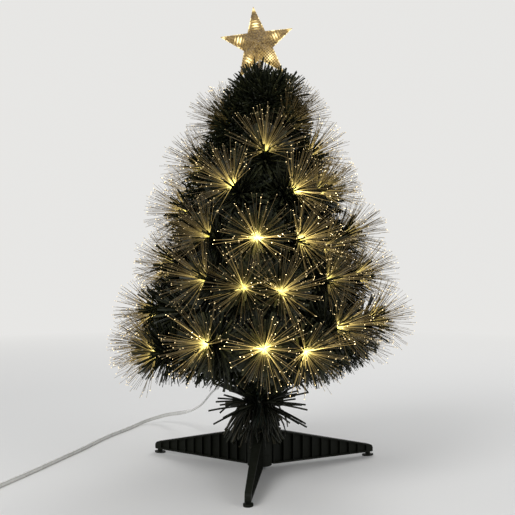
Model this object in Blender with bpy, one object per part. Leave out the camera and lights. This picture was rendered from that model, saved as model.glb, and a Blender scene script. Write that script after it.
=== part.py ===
"""A table-top fibre-optic Christmas tree: folding stand, pole, branches, fibre sprays, star and lead.

The tree stands on the plane z = 0 with its pole on the z axis. -Y is its front. Lengths are metres.
"""

import math

import bmesh
import bpy
import numpy as np
from mathutils import Matrix, Vector

# Clearances that more than one piece uses
SEAT_GAP = 0.0003
TURNING_GAP = 0.0004
OVERRUN = 0.002
UP = Vector((0.0, 0.0, 1.0))
FRONT_AZIMUTH = -90.0

# Pole and the pieces in it and on it
POLE_RADIUS = 0.008
POLE_WALL = 0.0008
POLE_TOP = 0.47
HARNESS_RADIUS = 0.0025
HARNESS_END_MARGIN = 0.0035
STEM_HALF_WIDTH = 0.0016
STEM_PLUG_LENGTH = 0.015
STEM_SHOULDER_HEIGHT = 0.004
STEM_FREE_LENGTH = 0.0627
STEM_NEEDLE_LEAN = 48.0
STEM_STATION_SHARES = (0.16, 0.36, 0.56)
ROUND_SIDES = 24

# Stand: three blades round one upright tube, the front one fixed to it
STAND_TURN = -3.5
FRONT_LEG_AZIMUTH = -91.0
SIDE_LEG_AZIMUTHS = (150.0, 30.0)
SOCKET_GAP = 0.0004
SOCKET_WALL = 0.0036
SOCKET_FLOOR = 0.0035
LEG_CLEARANCE = 0.0055
LEG_ROOT_RADIUS = 0.018
LEG_REACH = 0.185
LEG_ROOT_HEIGHT = 0.0485
HUB_ABOVE_LEGS = 0.003
LEG_TIP_HEIGHT = 0.010
LEG_ROOT_THICKNESS = 0.013
LEG_TIP_THICKNESS = 0.0078
LEG_RIM = 0.0022
LEG_WEB = 0.002
LEG_TIP_ROUND = 0.006
LEG_TOE_ROUND = 0.002
LEG_ROUND_STEPS = 4
RIB_PITCH = 0.0155
RIB_THICKNESS = 0.0014
KNUCKLE_RADIUS = 0.017
COLLAR_RADIUS = 0.0175
COLLAR_HEIGHT = 0.0035
FOOT_FROM_TIP = 0.0065
FOOT_LENGTH = 0.018
FOOT_WIDTH = 0.0125
FOOT_THICKNESS = 0.0022
FOOT_NECK_RADIUS = 0.0035
FOOT_PEG_RADIUS = 0.0024
FOOT_PEG_HEIGHT = 0.0045
FOOT_SIDES = 16

# Needles: flat strips of dark green film, thicker at the root
NEEDLE_LENGTH = 0.046
NEEDLE_ROOT = 0.0022
NEEDLE_TIP_WIDTH = 0.0021
NEEDLE_TIP_THICKNESS = 0.0008
NEEDLE_RADIUS = 0.0012
STRAND_GAP = 0.0006
SKIRT_BOTTOM_GAP = 0.003
SKIRT_TOP = 0.108
SKIRT_WALL = 0.0022
SKIRT_SIDES = 18
SKIRT_BAND_SHARES = (0.42, 0.86)
SKIRT_ARM_LENGTH = 0.027
SKIRT_DROP_LENGTH = 0.026
SKIRT_ARM_FALLS = (8.0, 16.0)
SKIRT_DROP_FALLS = (26.0, 52.0)

# Branches: whorls of wire bound to the pole by a collar, each wire ending at a fibre spray, with its
# angle from the front and its rise in degrees
WIRE_HALF_WIDTH = 0.0011
BINDING_WALL = 0.0027
BINDING_HEIGHT = 0.012
BINDING_SIDES = 18
LOWEST_REACH = 0.149
WHORL_HEIGHT_SHARES = (0.287, 0.451, 0.564, 0.694, 0.804, 0.909)
WHORL_REACH_SHARES = (1.0, 0.852, 0.718, 0.584, 0.436, 0.282)
WHORL_BRANCHES = (
    ((-66, 12.6), (-26, 20.2), (2, 18.7), (22, 16.9), (41, 27.0), (112, 16.0), (168, 18.0), (222, 16.0)),
    ((-33, 24.5), (-9, 20.2), (12, 18.0), (43, 24.0), (108, 21.0), (180, 22.0), (250, 21.0)),
    ((-38, 29.5), (-2, 28.4), (28, 27.3), (52, 22.4), (118, 26.0), (182, 27.0), (246, 26.0)),
    ((-24, 37.6), (30, 34.6), (100, 34.0), (172, 35.0), (250, 34.0)),
    ((6, 45.0), (126, 42.0), (246, 42.0)),
    ((-80, 55.0), (60, 55.0), (170, 52.0)),
)
# Side and back branches, also with a share of the whorl's reach; their sprays are one piece with the tier
SIDE_BRANCHES = (
    ((-90, 14.8, 1.0), (78, 27.2, 1.02), (140, 18.3, 0.98), (195, 18.3, 0.98), (250, 22.7, 0.98)),
    ((-88, 2.6, 1.12), (84, 24.8, 1.03), (144, 19.0, 0.99), (214, 19.0, 0.99)),
    ((-88, 9.5, 1.09), (84, 27.9, 1.09), (150, 26.0, 0.99), (214, 26.0, 0.99)),
    ((-90, 17.3, 1.14), (64, 36.2, 0.99), (136, 36.2, 0.99), (211, 36.2, 0.99)),
    ((-90, 29.9, 1.17), (86, 42.8, 1.02), (166, 44.9, 0.98), (206, 44.9, 0.98)),
    ((112, 60.8, 1.0), (228, 60.8, 1.0)),
)
FIRST_NEEDLE_SHARE = 0.48
LAST_NEEDLE_FROM_END = 0.0075
NEEDLE_LEANS = (58.0, 40.0)

# Fibre sprays: a lamp sleeve on the wire's end with five of its fibres
SLEEVE_RADIUS = 0.0025
SLEEVE_LENGTH = 0.014
SLEEVE_SHOULDER = 0.0015
FIBRES_PER_SPRAY = 5
FIBRE_LENGTH = 0.063
FIBRE_RADIUS = 0.0005
FIBRE_FLARE = 0.004
FIBRE_LEANS = (26.0, 60.0)

# How a strand looks for room: turns and leans away from its wish in degrees, then shorter lengths
SIDE_TURNS = (0, -90, 180, 90)
TRY_TURNS = (0, 8, -8, 16, -16, 24, -24, 32, -32)
TRY_LEANS = (0, 8, -8, 16, 24)
TRY_LENGTH_SHARES = (1.0, 0.85, 0.7, 0.55, 0.4, 0.25)
SKIRT_LIFTS = range(0, 70, 6)

# Star: two clear faceted shells round a lamp carrier, on a conical socket
STAR_RADIUS = 0.0529
STAR_NOTCH_SHARE = 0.40
STAR_TURN = 7.0
STAR_POINTS = 5
STAR_DEPTH = 0.0095
STAR_EDGE = 0.0012
STAR_WALL = 0.0013
STAR_BOSS_RADIUS = 0.003
STAR_RIB_SHARES = (0.38, 0.455, 0.53, 0.605)
STAR_RIB_WIDTH = 0.0014
STAR_RIB_RISE = 0.0004
STAR_RIB_REACH = 0.86
STAR_LIFT = 0.04
CARRIER_THICKNESS = 0.0016
CARRIER_HUB_RADIUS = 0.007
CARRIER_ARM_WIDTH = 0.0032
LAMP_RADIUS_SHARE = 0.5
LAMP_RADIUS = 0.0018
LAMP_DEPTH = 0.0044
LAMP_SIDES = 8
SOCKET_TUBE_RADIUS = 0.0045
SOCKET_TUBE_LENGTH = 0.022
SOCKET_CONE_HEIGHT = 0.006
SOCKET_CONE_TOP_RADIUS = 0.0015
SOCKET_CONE_GAP = 0.0012

# Lead: a cord from the grommet in the pole to a coil and a plug-in adaptor
CORD_RADIUS = 0.0032
GROMMET_HEIGHT = 0.118
GROMMET_AZIMUTH = 149.0
GROMMET_NECK_RADIUS = 0.0036
GROMMET_FLANGE_RADIUS = 0.0052
GROMMET_FLANGE = 0.002
GROMMET_NOSE = 0.0057
GROMMET_SIDES = 14
CORD_STEP = 0.0125
CORD_ROUTE = (
    (-0.0486, 0.0300, 0.1135),
    (-0.0694, 0.0900, 0.0922),
    (-0.0880, 0.1500, 0.0646),
    (-0.1016, 0.1950, 0.0489),
    (-0.1153, 0.2350, 0.0368),
    (-0.1358, 0.2800, 0.0253),
    (-0.1600, 0.3120, 0.0165),
    (-0.1840, 0.3200, 0.0088),
    (-0.2060, 0.3000, 0.0040),
    (-0.2200, 0.2600, 0.0032),
    (-0.2455, 0.1900, 0.0032),
    (-0.2660, 0.1100, 0.0032),
    (-0.2820, 0.0560, 0.0032),
    (-0.3040, -0.0200, 0.0032),
    (-0.3280, -0.0960, 0.0032),
)
COIL_ENTRY = (-0.3420, -0.1450)
COIL_TURNS = 3.25
COIL_RADIUS = 0.040
COIL_PITCH = 0.0070
COIL_POINTS_A_TURN = 24
COIL_TAIL = 0.026
TIE_THICKNESS = 0.0008
TIE_WIDTH = 0.0035
TIE_AZIMUTH = 90.0
ADAPTOR_LENGTH = 0.052
ADAPTOR_WIDTH = 0.038
ADAPTOR_HEIGHT = 0.028
ADAPTOR_BEVEL = 0.0025
RELIEF_LENGTH = 0.018
RELIEF_RADIUS = 0.0058
RELIEF_END_RADIUS = 0.0042
PIN_RADIUS = 0.002
PIN_SIDES = 12
PIN_LENGTH = 0.019
PIN_SPACING = 0.019
PIN_PLATE_THICKNESS = 0.002
PIN_PLATE_HEIGHT = 0.012
PIN_PLATE_MARGIN = 0.004

# Places that follow from those sizes
SOCKET_BORE = POLE_RADIUS + SOCKET_GAP
SOCKET_RADIUS = SOCKET_BORE + SOCKET_WALL
SOCKET_HEIGHT = LEG_ROOT_HEIGHT + HUB_ABOVE_LEGS
SOCKET_TOP = LEG_CLEARANCE + SOCKET_HEIGHT
POLE_BOTTOM = LEG_CLEARANCE + SOCKET_FLOOR + SEAT_GAP
KNUCKLE_BORE = SOCKET_RADIUS + TURNING_GAP
KNUCKLE_HEIGHT = (SOCKET_HEIGHT - COLLAR_HEIGHT) / 3 - TURNING_GAP
FOOT_RADIUS = LEG_REACH - FOOT_FROM_TIP
STRAND_FLOOR = SOCKET_TOP + NEEDLE_RADIUS + SEAT_GAP
BINDING_BORE = POLE_RADIUS + SEAT_GAP
BINDING_RADIUS = BINDING_BORE + BINDING_WALL
STAR_NOTCH_RADIUS = STAR_RADIUS * STAR_NOTCH_SHARE
STEM_BOTTOM = POLE_TOP + SEAT_GAP + STEM_SHOULDER_HEIGHT
STAR_SOCKET_BOTTOM = STEM_BOTTOM + STEM_FREE_LENGTH
SOCKET_CONE_BOTTOM = STAR_SOCKET_BOTTOM + SOCKET_TUBE_LENGTH
SOCKET_CONE_TOP = SOCKET_CONE_BOTTOM + SOCKET_CONE_HEIGHT
STEM_TOP = SOCKET_CONE_BOTTOM - SEAT_GAP
STAR_NOTCH_HEIGHT = SOCKET_CONE_TOP + SOCKET_CONE_GAP
STAR_X = -STAR_NOTCH_RADIUS * math.sin(math.radians(STAR_TURN))
STAR_HEIGHT = STAR_NOTCH_HEIGHT + STAR_NOTCH_RADIUS * math.cos(math.radians(STAR_TURN))
COIL_REST = TIE_THICKNESS + SEAT_GAP + CORD_RADIUS

MATERIALS = {
    "stand plastic": ((0.012, 0.045, 0.024), 0.42, 0.0),
    "needle film": ((0.010, 0.055, 0.022), 0.45, 0.0),
    "pole steel": ((0.020, 0.060, 0.035), 0.40, 0.6),
    "clear plastic": ((0.86, 0.88, 0.90), 0.08, 0.0),
    "warm fibre": ((0.95, 0.70, 0.28), 0.20, 0.0),
    "lead jacket": ((0.80, 0.82, 0.82), 0.30, 0.0),
    "lamp carrier": ((0.90, 0.80, 0.55), 0.35, 0.0),
    "adaptor plastic": ((0.82, 0.82, 0.80), 0.45, 0.0),
    "pin metal": ((0.75, 0.74, 0.70), 0.25, 1.0),
}


def clear_scene():
    for obj in list(bpy.data.objects):
        bpy.data.objects.remove(obj, do_unlink=True)


def material(name):
    """The Principled material of that name, made on first use."""
    found = bpy.data.materials.get(name)
    if found is None:
        colour, roughness, metallic = MATERIALS[name]
        found = bpy.data.materials.new(name)
        found.use_nodes = True
        shader = found.node_tree.nodes["Principled BSDF"]
        shader.inputs["Base Color"].default_value = (*colour, 1.0)
        shader.inputs["Roughness"].default_value = roughness
        shader.inputs["Metallic"].default_value = metallic
    return found


def add_object(name, shape, finish, parent=None):
    """Turns a bmesh into an object with smooth round faces and sharp edges."""
    bmesh.ops.recalc_face_normals(shape, faces=shape.faces[:])
    mesh = bpy.data.meshes.new(name)
    shape.to_mesh(mesh)
    shape.free()
    mesh.shade_smooth()
    mesh.set_sharp_from_angle(angle=math.radians(35))
    mesh.materials.append(material(finish))
    obj = bpy.data.objects.new(name, mesh)
    obj.parent = parent
    bpy.context.collection.objects.link(obj)
    return obj


def combine(obj, shape, operation):
    """Joins a helper shape to an object, or cuts it away, in the object's own frame."""
    helper = add_object(f"{obj.name}_{operation.lower()}_{len(obj.modifiers)}", shape, "stand plastic", obj)
    helper.hide_render = True
    helper.display_type = "WIRE"
    modifier = obj.modifiers.new(operation.title(), "BOOLEAN")
    modifier.operation = operation
    modifier.solver = "EXACT"
    modifier.object = helper


def turned(profile, sides=ROUND_SIDES):
    """A closed solid of revolution about z from a closed outline of (radius, height) points."""
    shape = bmesh.new()
    rings = []
    for radius, height in profile:
        if radius == 0:
            rings.append([shape.verts.new((0.0, 0.0, height))] * sides)
            continue
        angles = [2 * math.pi * i / sides for i in range(sides)]
        rings.append([shape.verts.new((radius * math.cos(a), radius * math.sin(a), height)) for a in angles])
    for lower, upper in zip(rings, rings[1:] + rings[:1]):
        for i in range(sides):
            j = (i + 1) % sides
            corners = list(dict.fromkeys((lower[i], lower[j], upper[j], upper[i])))
            if len(corners) > 2:
                shape.faces.new(corners)
    return shape


def cylinder(radius, bottom, top, sides=ROUND_SIDES):
    return turned(((0, bottom), (radius, bottom), (radius, top), (0, top)), sides)


def tube(bore, radius, bottom, top, sides=ROUND_SIDES):
    return turned(((bore, bottom), (radius, bottom), (radius, top), (bore, top)), sides)


def moved(shape, matrix):
    bmesh.ops.transform(shape, matrix=matrix, verts=shape.verts[:])
    return shape


def extruded(outline, place):
    """A prism between two copies of an outline; place(point, side) gives their corners, side -1 or 1."""
    shape = bmesh.new()
    add_prism(shape, outline, place)
    return shape


def add_prism(shape, outline, place):
    low = [shape.verts.new(place(point, -1)) for point in outline]
    high = [shape.verts.new(place(point, 1)) for point in outline]
    shape.faces.new(low[::-1])
    shape.faces.new(high)
    for i in range(len(outline)):
        j = (i + 1) % len(outline)
        shape.faces.new((low[i], low[j], high[j], high[i]))


def box(low, high):
    """A block between two opposite corners."""
    outline = ((low[0], low[2]), (high[0], low[2]), (high[0], high[2]), (low[0], high[2]))
    return extruded(outline, lambda p, side: (p[0], high[1] if side > 0 else low[1], p[1]))


def azimuth_direction(degrees):
    return Vector((math.cos(math.radians(degrees)), math.sin(math.radians(degrees)), 0.0))


def across(direction):
    """Two unit vectors square to a direction: the first level, the second as upright as it can be."""
    level = direction.cross(UP)
    level = Vector((1.0, 0.0, 0.0)) if level.length < 1e-6 else level.normalized()
    return level, level.cross(direction).normalized()


def leaning(direction, lean, turn):
    """A direction leant away by some degrees, towards a turn counted from the upright side."""
    level, upright = across(direction)
    outward = upright * math.cos(math.radians(turn)) + level * math.sin(math.radians(turn))
    return direction * math.cos(math.radians(lean)) + outward * math.sin(math.radians(lean))


def along(direction, origin):
    """The matrix that stands local z along a direction, with local y as upright as it can be."""
    level, upright = across(direction)
    return Matrix.Translation(origin) @ Matrix((level, upright, direction)).transposed().to_4x4()


class Room:
    """The round-ended bars that already stand in the tree's volume, for new strands to keep clear of."""

    def __init__(self):
        self.starts = np.empty((0, 3))
        self.ends = np.empty((0, 3))
        self.radii = np.empty(0)
        self.owners = np.empty(0, dtype=object)

    def add(self, points, radius, owner=""):
        points = np.array([tuple(p) for p in points])
        self.starts = np.concatenate([self.starts, points[:-1]])
        self.ends = np.concatenate([self.ends, points[1:]])
        count = len(points) - 1
        self.radii = np.concatenate([self.radii, np.full(count, radius)])
        self.owners = np.concatenate([self.owners, np.full(count, owner, dtype=object)])

    def is_clear(self, start, end, radius, owner):
        """Whether a bar keeps the strand gap to every other owner's bar."""
        others = self.owners != owner
        if not others.any():
            return True
        far = distances(np.array(start), np.array(end), self.starts[others], self.ends[others])
        return bool((far > self.radii[others] + radius + STRAND_GAP).all())


def distances(start, end, starts, ends):
    """The distance from one line segment to each of many."""
    u, v, w = end - start, ends - starts, start - starts
    a, b, c = u @ u, v @ u, (v * v).sum(1)
    d, e = w @ u, (w * v).sum(1)
    cross = a * c - b * b
    flat = cross < 1e-9 * a * c
    s = np.clip(np.where(flat, 0.0, (b * e - c * d) / np.where(flat, 1.0, cross)), 0.0, 1.0)
    t = np.clip((b * s + e) / c, 0.0, 1.0)
    s = np.clip((b * t - d) / a, 0.0, 1.0)
    return np.linalg.norm(w + s[:, None] * u - t[:, None] * v, axis=1)


def free_direction(room, root, axis, lean, turn, size, owner):
    """The (direction, length) nearest to the wish that touches nothing."""
    length, radius = size
    for share in TRY_LENGTH_SHARES:
        for more_lean in TRY_LEANS:
            for more_turn in TRY_TURNS:
                way = leaning(axis, lean + more_lean, turn + more_turn)
                start, end = root + way * 2 * radius, root + way * length * share
                if end.z > STRAND_FLOOR and room.is_clear(start, end, radius, owner):
                    return way, length * share
    return leaning(axis, lean, turn), 2 * NEEDLE_ROOT


def draw_out(shape, face, wide, centre, width, thickness):
    """Extrudes a face to a slim end at a centre, with its width along one direction. Returns the new face."""
    middle = face.calc_center_median()
    normal = (centre - middle).normalized()
    wide = (wide - normal * wide.dot(normal)).normalized()
    thin = normal.cross(wide).normalized()
    face = bmesh.ops.extrude_discrete_faces(shape, faces=[face])["faces"][0]
    for vertex in face.verts:
        offset = vertex.co - middle
        side = width * math.copysign(0.5, offset.dot(wide))
        depth = thickness * math.copysign(0.5, offset.dot(thin))
        vertex.co = centre + wide * side + thin * depth
    return face


def square_rod(shape, start, direction, stations, half_width):
    """A square bar with a ring of edges at each station. Returns its faces by (stretch, side), and its end."""
    level, upright = across(direction)
    corners = [level + upright, upright - level, -level - upright, level - upright]
    rings = [[shape.verts.new(start + direction * s + c * half_width) for c in corners] for s in stations]
    shape.faces.new(rings[0])
    sides = {"end": shape.faces.new(rings[-1][::-1])}
    for k, (near, far) in enumerate(zip(rings, rings[1:])):
        for side in range(4):
            j = (side + 1) % 4
            sides[k, side] = shape.faces.new((near[side], near[j], far[j], far[side]))
    return sides


def add_needles(shape, room, sides, direction, leans, owner):
    """Draws a needle from each side of a bar, at each station, leaning as far as that station says."""
    level, upright = across(direction)
    size = (NEEDLE_LENGTH, NEEDLE_RADIUS)
    for station, lean in enumerate(leans):
        for side, turn in enumerate(SIDE_TURNS):
            face = sides[2 * station + 1, side]
            root = face.calc_center_median()
            way, length = free_direction(room, root, direction, lean, turn, size, owner)
            end = root + way * length
            draw_out(shape, face, upright if side % 2 else level, end, NEEDLE_TIP_WIDTH, NEEDLE_TIP_THICKNESS)
            room.add((root + way * 2 * NEEDLE_RADIUS, end), NEEDLE_RADIUS, f"{owner} needle")


def rod_stations(centres, length):
    """Ring stations that leave a square face round each centre."""
    inner = [s + sign * NEEDLE_ROOT / 2 for s in centres for sign in (-1, 1)]
    return [0.0, *inner, length]


def leg_thickness(radius):
    share = (radius - LEG_ROOT_RADIUS) / (LEG_REACH - LEG_ROOT_RADIUS)
    return LEG_ROOT_THICKNESS + (LEG_TIP_THICKNESS - LEG_ROOT_THICKNESS) * share


def leg_top(radius):
    share = (radius - LEG_ROOT_RADIUS) / (LEG_REACH - LEG_ROOT_RADIUS)
    return LEG_CLEARANCE + LEG_ROOT_HEIGHT + (LEG_TIP_HEIGHT - LEG_ROOT_HEIGHT) * share


def leg_place(point, side):
    return (point[0], side * leg_thickness(point[0]) / 2, point[1])


def arc(centre, radius, first, last, steps):
    angles = [math.radians(first + (last - first) * i / steps) for i in range(steps + 1)]
    return [(centre[0] + radius * math.cos(a), centre[1] + radius * math.sin(a)) for a in angles]


def leg_outline():
    """The blade's side view, from its root along the bottom to the rounded tip and back along the top."""
    slope = math.degrees(math.atan2(LEG_ROOT_HEIGHT - LEG_TIP_HEIGHT, LEG_REACH - LEG_ROOT_RADIUS))
    toe = (LEG_REACH - LEG_TOE_ROUND, LEG_CLEARANCE + LEG_TOE_ROUND)
    tip_x = LEG_REACH - LEG_TIP_ROUND
    tip = (tip_x, leg_top(tip_x) - LEG_TIP_ROUND / math.cos(math.radians(slope)))
    return [
        (LEG_ROOT_RADIUS, LEG_CLEARANCE),
        *arc(toe, LEG_TOE_ROUND, -90, 0, LEG_ROUND_STEPS),
        *arc(tip, LEG_TIP_ROUND, 0, 90 - slope, LEG_ROUND_STEPS),
        (LEG_ROOT_RADIUS, leg_top(LEG_ROOT_RADIUS)),
    ]


def leg_pockets():
    """The hollows on both faces of the blade, between its ribs."""
    shape = bmesh.new()
    end = FOOT_RADIUS - FOOT_PEG_RADIUS - SEAT_GAP - LEG_RIM
    left = LEG_ROOT_RADIUS + LEG_RIM
    bottom = LEG_CLEARANCE + LEG_RIM
    while left < end - RIB_THICKNESS:
        right = min(left + RIB_PITCH - RIB_THICKNESS, end)
        top_left, top_right = leg_top(left) - LEG_RIM, leg_top(right) - LEG_RIM
        outline = ((left, bottom), (right, bottom), (right, top_right), (left, top_left))
        for side in (-1, 1):
            inner, outer = side * LEG_WEB / 2, side * LEG_ROOT_THICKNESS
            add_prism(shape, outline, lambda p, far, a=inner, b=outer: (p[0], b if far > 0 else a, p[1]))
        left = right + RIB_THICKNESS
    return shape


def peg_hole():
    hole = FOOT_PEG_RADIUS + SEAT_GAP
    depth = FOOT_PEG_HEIGHT + SEAT_GAP
    shape = cylinder(hole, LEG_CLEARANCE - OVERRUN, LEG_CLEARANCE + depth, FOOT_SIDES)
    return moved(shape, Matrix.Translation((FOOT_RADIUS, 0.0, 0.0)))


def make_leg(name, azimuth, hub, arm_bottom, arm_top, bore, bore_bottom):
    """One blade with its part of the hub: the hub's solid, the arm that joins it, and the bore through it."""
    blade = add_object(name, extruded(leg_outline(), leg_place), "stand plastic")
    blade.rotation_euler.z = math.radians(azimuth)
    combine(blade, leg_pockets(), "DIFFERENCE")
    combine(blade, peg_hole(), "DIFFERENCE")
    half = LEG_ROOT_THICKNESS / 2 - LEG_RIM / 2
    arm = box((0.0, -half, arm_bottom), (LEG_ROOT_RADIUS + LEG_RIM / 2, half, arm_top))
    combine(blade, arm, "UNION")
    combine(blade, hub, "UNION")
    combine(blade, cylinder(bore, bore_bottom, SOCKET_TOP + OVERRUN), "DIFFERENCE")
    return blade


def make_foot(name, azimuth):
    """An oval pad with a round neck and a peg that plugs into the blade."""
    neck_top = LEG_CLEARANCE - SEAT_GAP
    peg_top = neck_top + FOOT_PEG_HEIGHT
    profile = (
        (0, 0),
        (FOOT_LENGTH / 2, 0),
        (FOOT_LENGTH / 2, FOOT_THICKNESS),
        (FOOT_NECK_RADIUS, FOOT_THICKNESS),
        (FOOT_NECK_RADIUS, neck_top),
        (FOOT_PEG_RADIUS, neck_top),
        (FOOT_PEG_RADIUS, peg_top),
        (0, peg_top),
    )
    shape = turned(profile, FOOT_SIDES)
    for vertex in shape.verts:
        if vertex.co.xy.length > FOOT_NECK_RADIUS + OVERRUN / 2:
            vertex.co.y *= FOOT_WIDTH / FOOT_LENGTH
    moved(shape, Matrix.Translation((FOOT_RADIUS, 0.0, 0.0)))
    foot = add_object(name, shape, "stand plastic")
    foot.rotation_euler.z = math.radians(azimuth)
    return foot


def make_stand():
    front = FRONT_LEG_AZIMUTH + STAND_TURN
    arm_top = LEG_CLEARANCE + KNUCKLE_HEIGHT
    hub = turned((
        (0, LEG_CLEARANCE),
        (KNUCKLE_RADIUS, LEG_CLEARANCE),
        (KNUCKLE_RADIUS, arm_top),
        (SOCKET_RADIUS, arm_top),
        (SOCKET_RADIUS, SOCKET_TOP),
        (0, SOCKET_TOP),
    ))
    floor = LEG_CLEARANCE + SOCKET_FLOOR
    make_leg("stand_hub_leg", front, hub, LEG_CLEARANCE, arm_top, SOCKET_BORE, floor)
    make_foot("front_foot", front)
    for i, side in enumerate(("left", "right")):
        azimuth = SIDE_LEG_AZIMUTHS[i] + STAND_TURN
        bottom = arm_top + TURNING_GAP + i * (KNUCKLE_HEIGHT + TURNING_GAP)
        top = bottom + KNUCKLE_HEIGHT
        knuckle = cylinder(KNUCKLE_RADIUS, bottom, top)
        make_leg(f"{side}_leg", azimuth, knuckle, bottom, top, KNUCKLE_BORE, LEG_CLEARANCE - OVERRUN)
        make_foot(f"{side}_foot", azimuth)
    collar = tube(SOCKET_RADIUS + SEAT_GAP, COLLAR_RADIUS, SOCKET_TOP - COLLAR_HEIGHT, SOCKET_TOP)
    add_object("stand_collar", collar, "stand plastic")


def make_pole():
    pole = add_object("pole", tube(POLE_RADIUS - POLE_WALL, POLE_RADIUS, POLE_BOTTOM, POLE_TOP), "pole steel")
    out = azimuth_direction(GROMMET_AZIMUTH)
    place = along(out, Vector((0.0, 0.0, GROMMET_HEIGHT)))
    hole = cylinder(GROMMET_NECK_RADIUS + SEAT_GAP, 0.0, POLE_RADIUS + OVERRUN, GROMMET_SIDES)
    combine(pole, moved(hole, place), "DIFFERENCE")
    bottom = POLE_BOTTOM + HARNESS_END_MARGIN
    top = POLE_TOP - STEM_PLUG_LENGTH - HARNESS_END_MARGIN
    add_object("wiring_harness", cylinder(HARNESS_RADIUS, bottom, top, GROMMET_SIDES), "lead jacket")
    flange = POLE_RADIUS + SEAT_GAP
    nose = flange + GROMMET_FLANGE
    profile = (
        (0, HARNESS_RADIUS + SEAT_GAP),
        (GROMMET_NECK_RADIUS, HARNESS_RADIUS + SEAT_GAP),
        (GROMMET_NECK_RADIUS, flange),
        (GROMMET_FLANGE_RADIUS, flange),
        (GROMMET_FLANGE_RADIUS, nose),
        (GROMMET_NECK_RADIUS, nose),
        (GROMMET_NECK_RADIUS, nose + GROMMET_NOSE),
        (0, nose + GROMMET_NOSE),
    )
    add_object("cable_grommet", moved(turned(profile, GROMMET_SIDES), place), "lead jacket")


def branch_place(whorl, from_front, rise, share=1.0):
    """One branch as (root, direction, wire length)."""
    level = azimuth_direction(FRONT_AZIMUTH + from_front)
    inside = BINDING_BORE + BINDING_WALL / 2
    root = level * inside + UP * POLE_TOP * WHORL_HEIGHT_SHARES[whorl]
    reach = LOWEST_REACH * WHORL_REACH_SHARES[whorl] * share
    length = (reach - inside) / math.cos(math.radians(rise)) - SLEEVE_LENGTH - SEAT_GAP
    return root, leaning(level, rise, 0), length


def branch_places(table, kind):
    """Every branch of a table as (whorl, owner, root, direction, wire length)."""
    return [
        (whorl, f"{kind} {whorl} {number}", *branch_place(whorl, *entry))
        for whorl, entries in enumerate(table)
        for number, entry in enumerate(entries)
    ]


def star_tips():
    angles = [math.radians(90 + STAR_TURN + 360 * i / STAR_POINTS) for i in range(STAR_POINTS)]
    centre = Vector((STAR_X, 0.0, STAR_HEIGHT))
    return centre, [centre + STAR_RADIUS * Vector((math.cos(a), 0.0, math.sin(a))) for a in angles]


def fill_room(room, cord, branches):
    """Everything that strands have to keep clear of, before any strand is there."""
    room.add((UP * POLE_BOTTOM, UP * POLE_TOP), POLE_RADIUS)
    room.add((UP * STAR_SOCKET_BOTTOM, UP * STAR_HEIGHT), SOCKET_TUBE_RADIUS)
    room.add(cord, CORD_RADIUS)
    out = azimuth_direction(GROMMET_AZIMUTH)
    room.add((UP * GROMMET_HEIGHT, UP * GROMMET_HEIGHT + out * cord_start_radius()), GROMMET_FLANGE_RADIUS)
    for share in WHORL_HEIGHT_SHARES:
        middle = UP * POLE_TOP * share
        room.add((middle - UP * BINDING_HEIGHT / 2, middle + UP * BINDING_HEIGHT / 2), BINDING_RADIUS)
    centre, tips = star_tips()
    for step in range(5):
        rise = UP * STAR_LIFT * step / 4
        for tip in tips:
            room.add((centre + rise, tip + rise), STAR_DEPTH)
    for whorl, owner, root, direction, length in branches:
        mouth = root + direction * (length + SEAT_GAP + SLEEVE_LENGTH)
        room.add((root, root + direction * length), WIRE_HALF_WIDTH * math.sqrt(2), owner)
        room.add((root + direction * length, mouth), SLEEVE_RADIUS, f"{owner} sleeve")


def make_sprays(room, branches):
    """A sleeve on the end of each wire; its mouth is a fan of faces, and each is drawn out into a fibre."""
    made = []
    for whorl, owner, root, direction, length in branches:
        rear = root + direction * (length + SEAT_GAP)
        sleeve = cylinder(SLEEVE_RADIUS, 0.0, SLEEVE_LENGTH, FIBRES_PER_SPRAY)
        moved(sleeve, along(direction, rear))
        mouth = rear + direction * SLEEVE_LENGTH
        bmesh.ops.recalc_face_normals(sleeve, faces=sleeve.faces[:])
        fan = [f for f in sleeve.faces if (f.calc_center_median() - mouth).dot(direction) > -FIBRE_RADIUS]
        for i, face in enumerate(fan):
            lean = FIBRE_LEANS[i % len(FIBRE_LEANS)]
            add_fibre(sleeve, room, face, direction, mouth, lean, f"{owner} sleeve")
        made.append(add_object(f"fibre_spray_{len(made) + 1:02d}", sleeve, "warm fibre"))
    return made


def add_fibre(shape, room, face, axis, mouth, lean, owner):
    """Draws one face of the fan out to a thin fibre that leans away from the spray's axis."""
    middle = face.calc_center_median()
    level, upright = across(axis)
    offset = middle - mouth
    turn = math.degrees(math.atan2(offset.dot(level), offset.dot(upright)))
    size = (FIBRE_LENGTH, FIBRE_RADIUS)
    way, length = free_direction(room, middle, axis, lean, turn, size, owner)
    flared = round_end(shape, face, middle + way * FIBRE_FLARE, way, FIBRE_RADIUS)
    round_end(shape, flared, middle + way * length, way, FIBRE_RADIUS)
    room.add((middle, middle + way * length), FIBRE_RADIUS, owner)


def round_end(shape, face, centre, way, radius):
    """Extrudes a face to a ring of a radius about a centre, square to the way it runs. Returns the new face."""
    face = bmesh.ops.extrude_discrete_faces(shape, faces=[face])["faces"][0]
    middle = face.calc_center_median()
    for vertex in face.verts:
        offset = vertex.co - middle
        offset -= way * offset.dot(way)
        vertex.co = centre + offset.normalized() * radius
    return face


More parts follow.
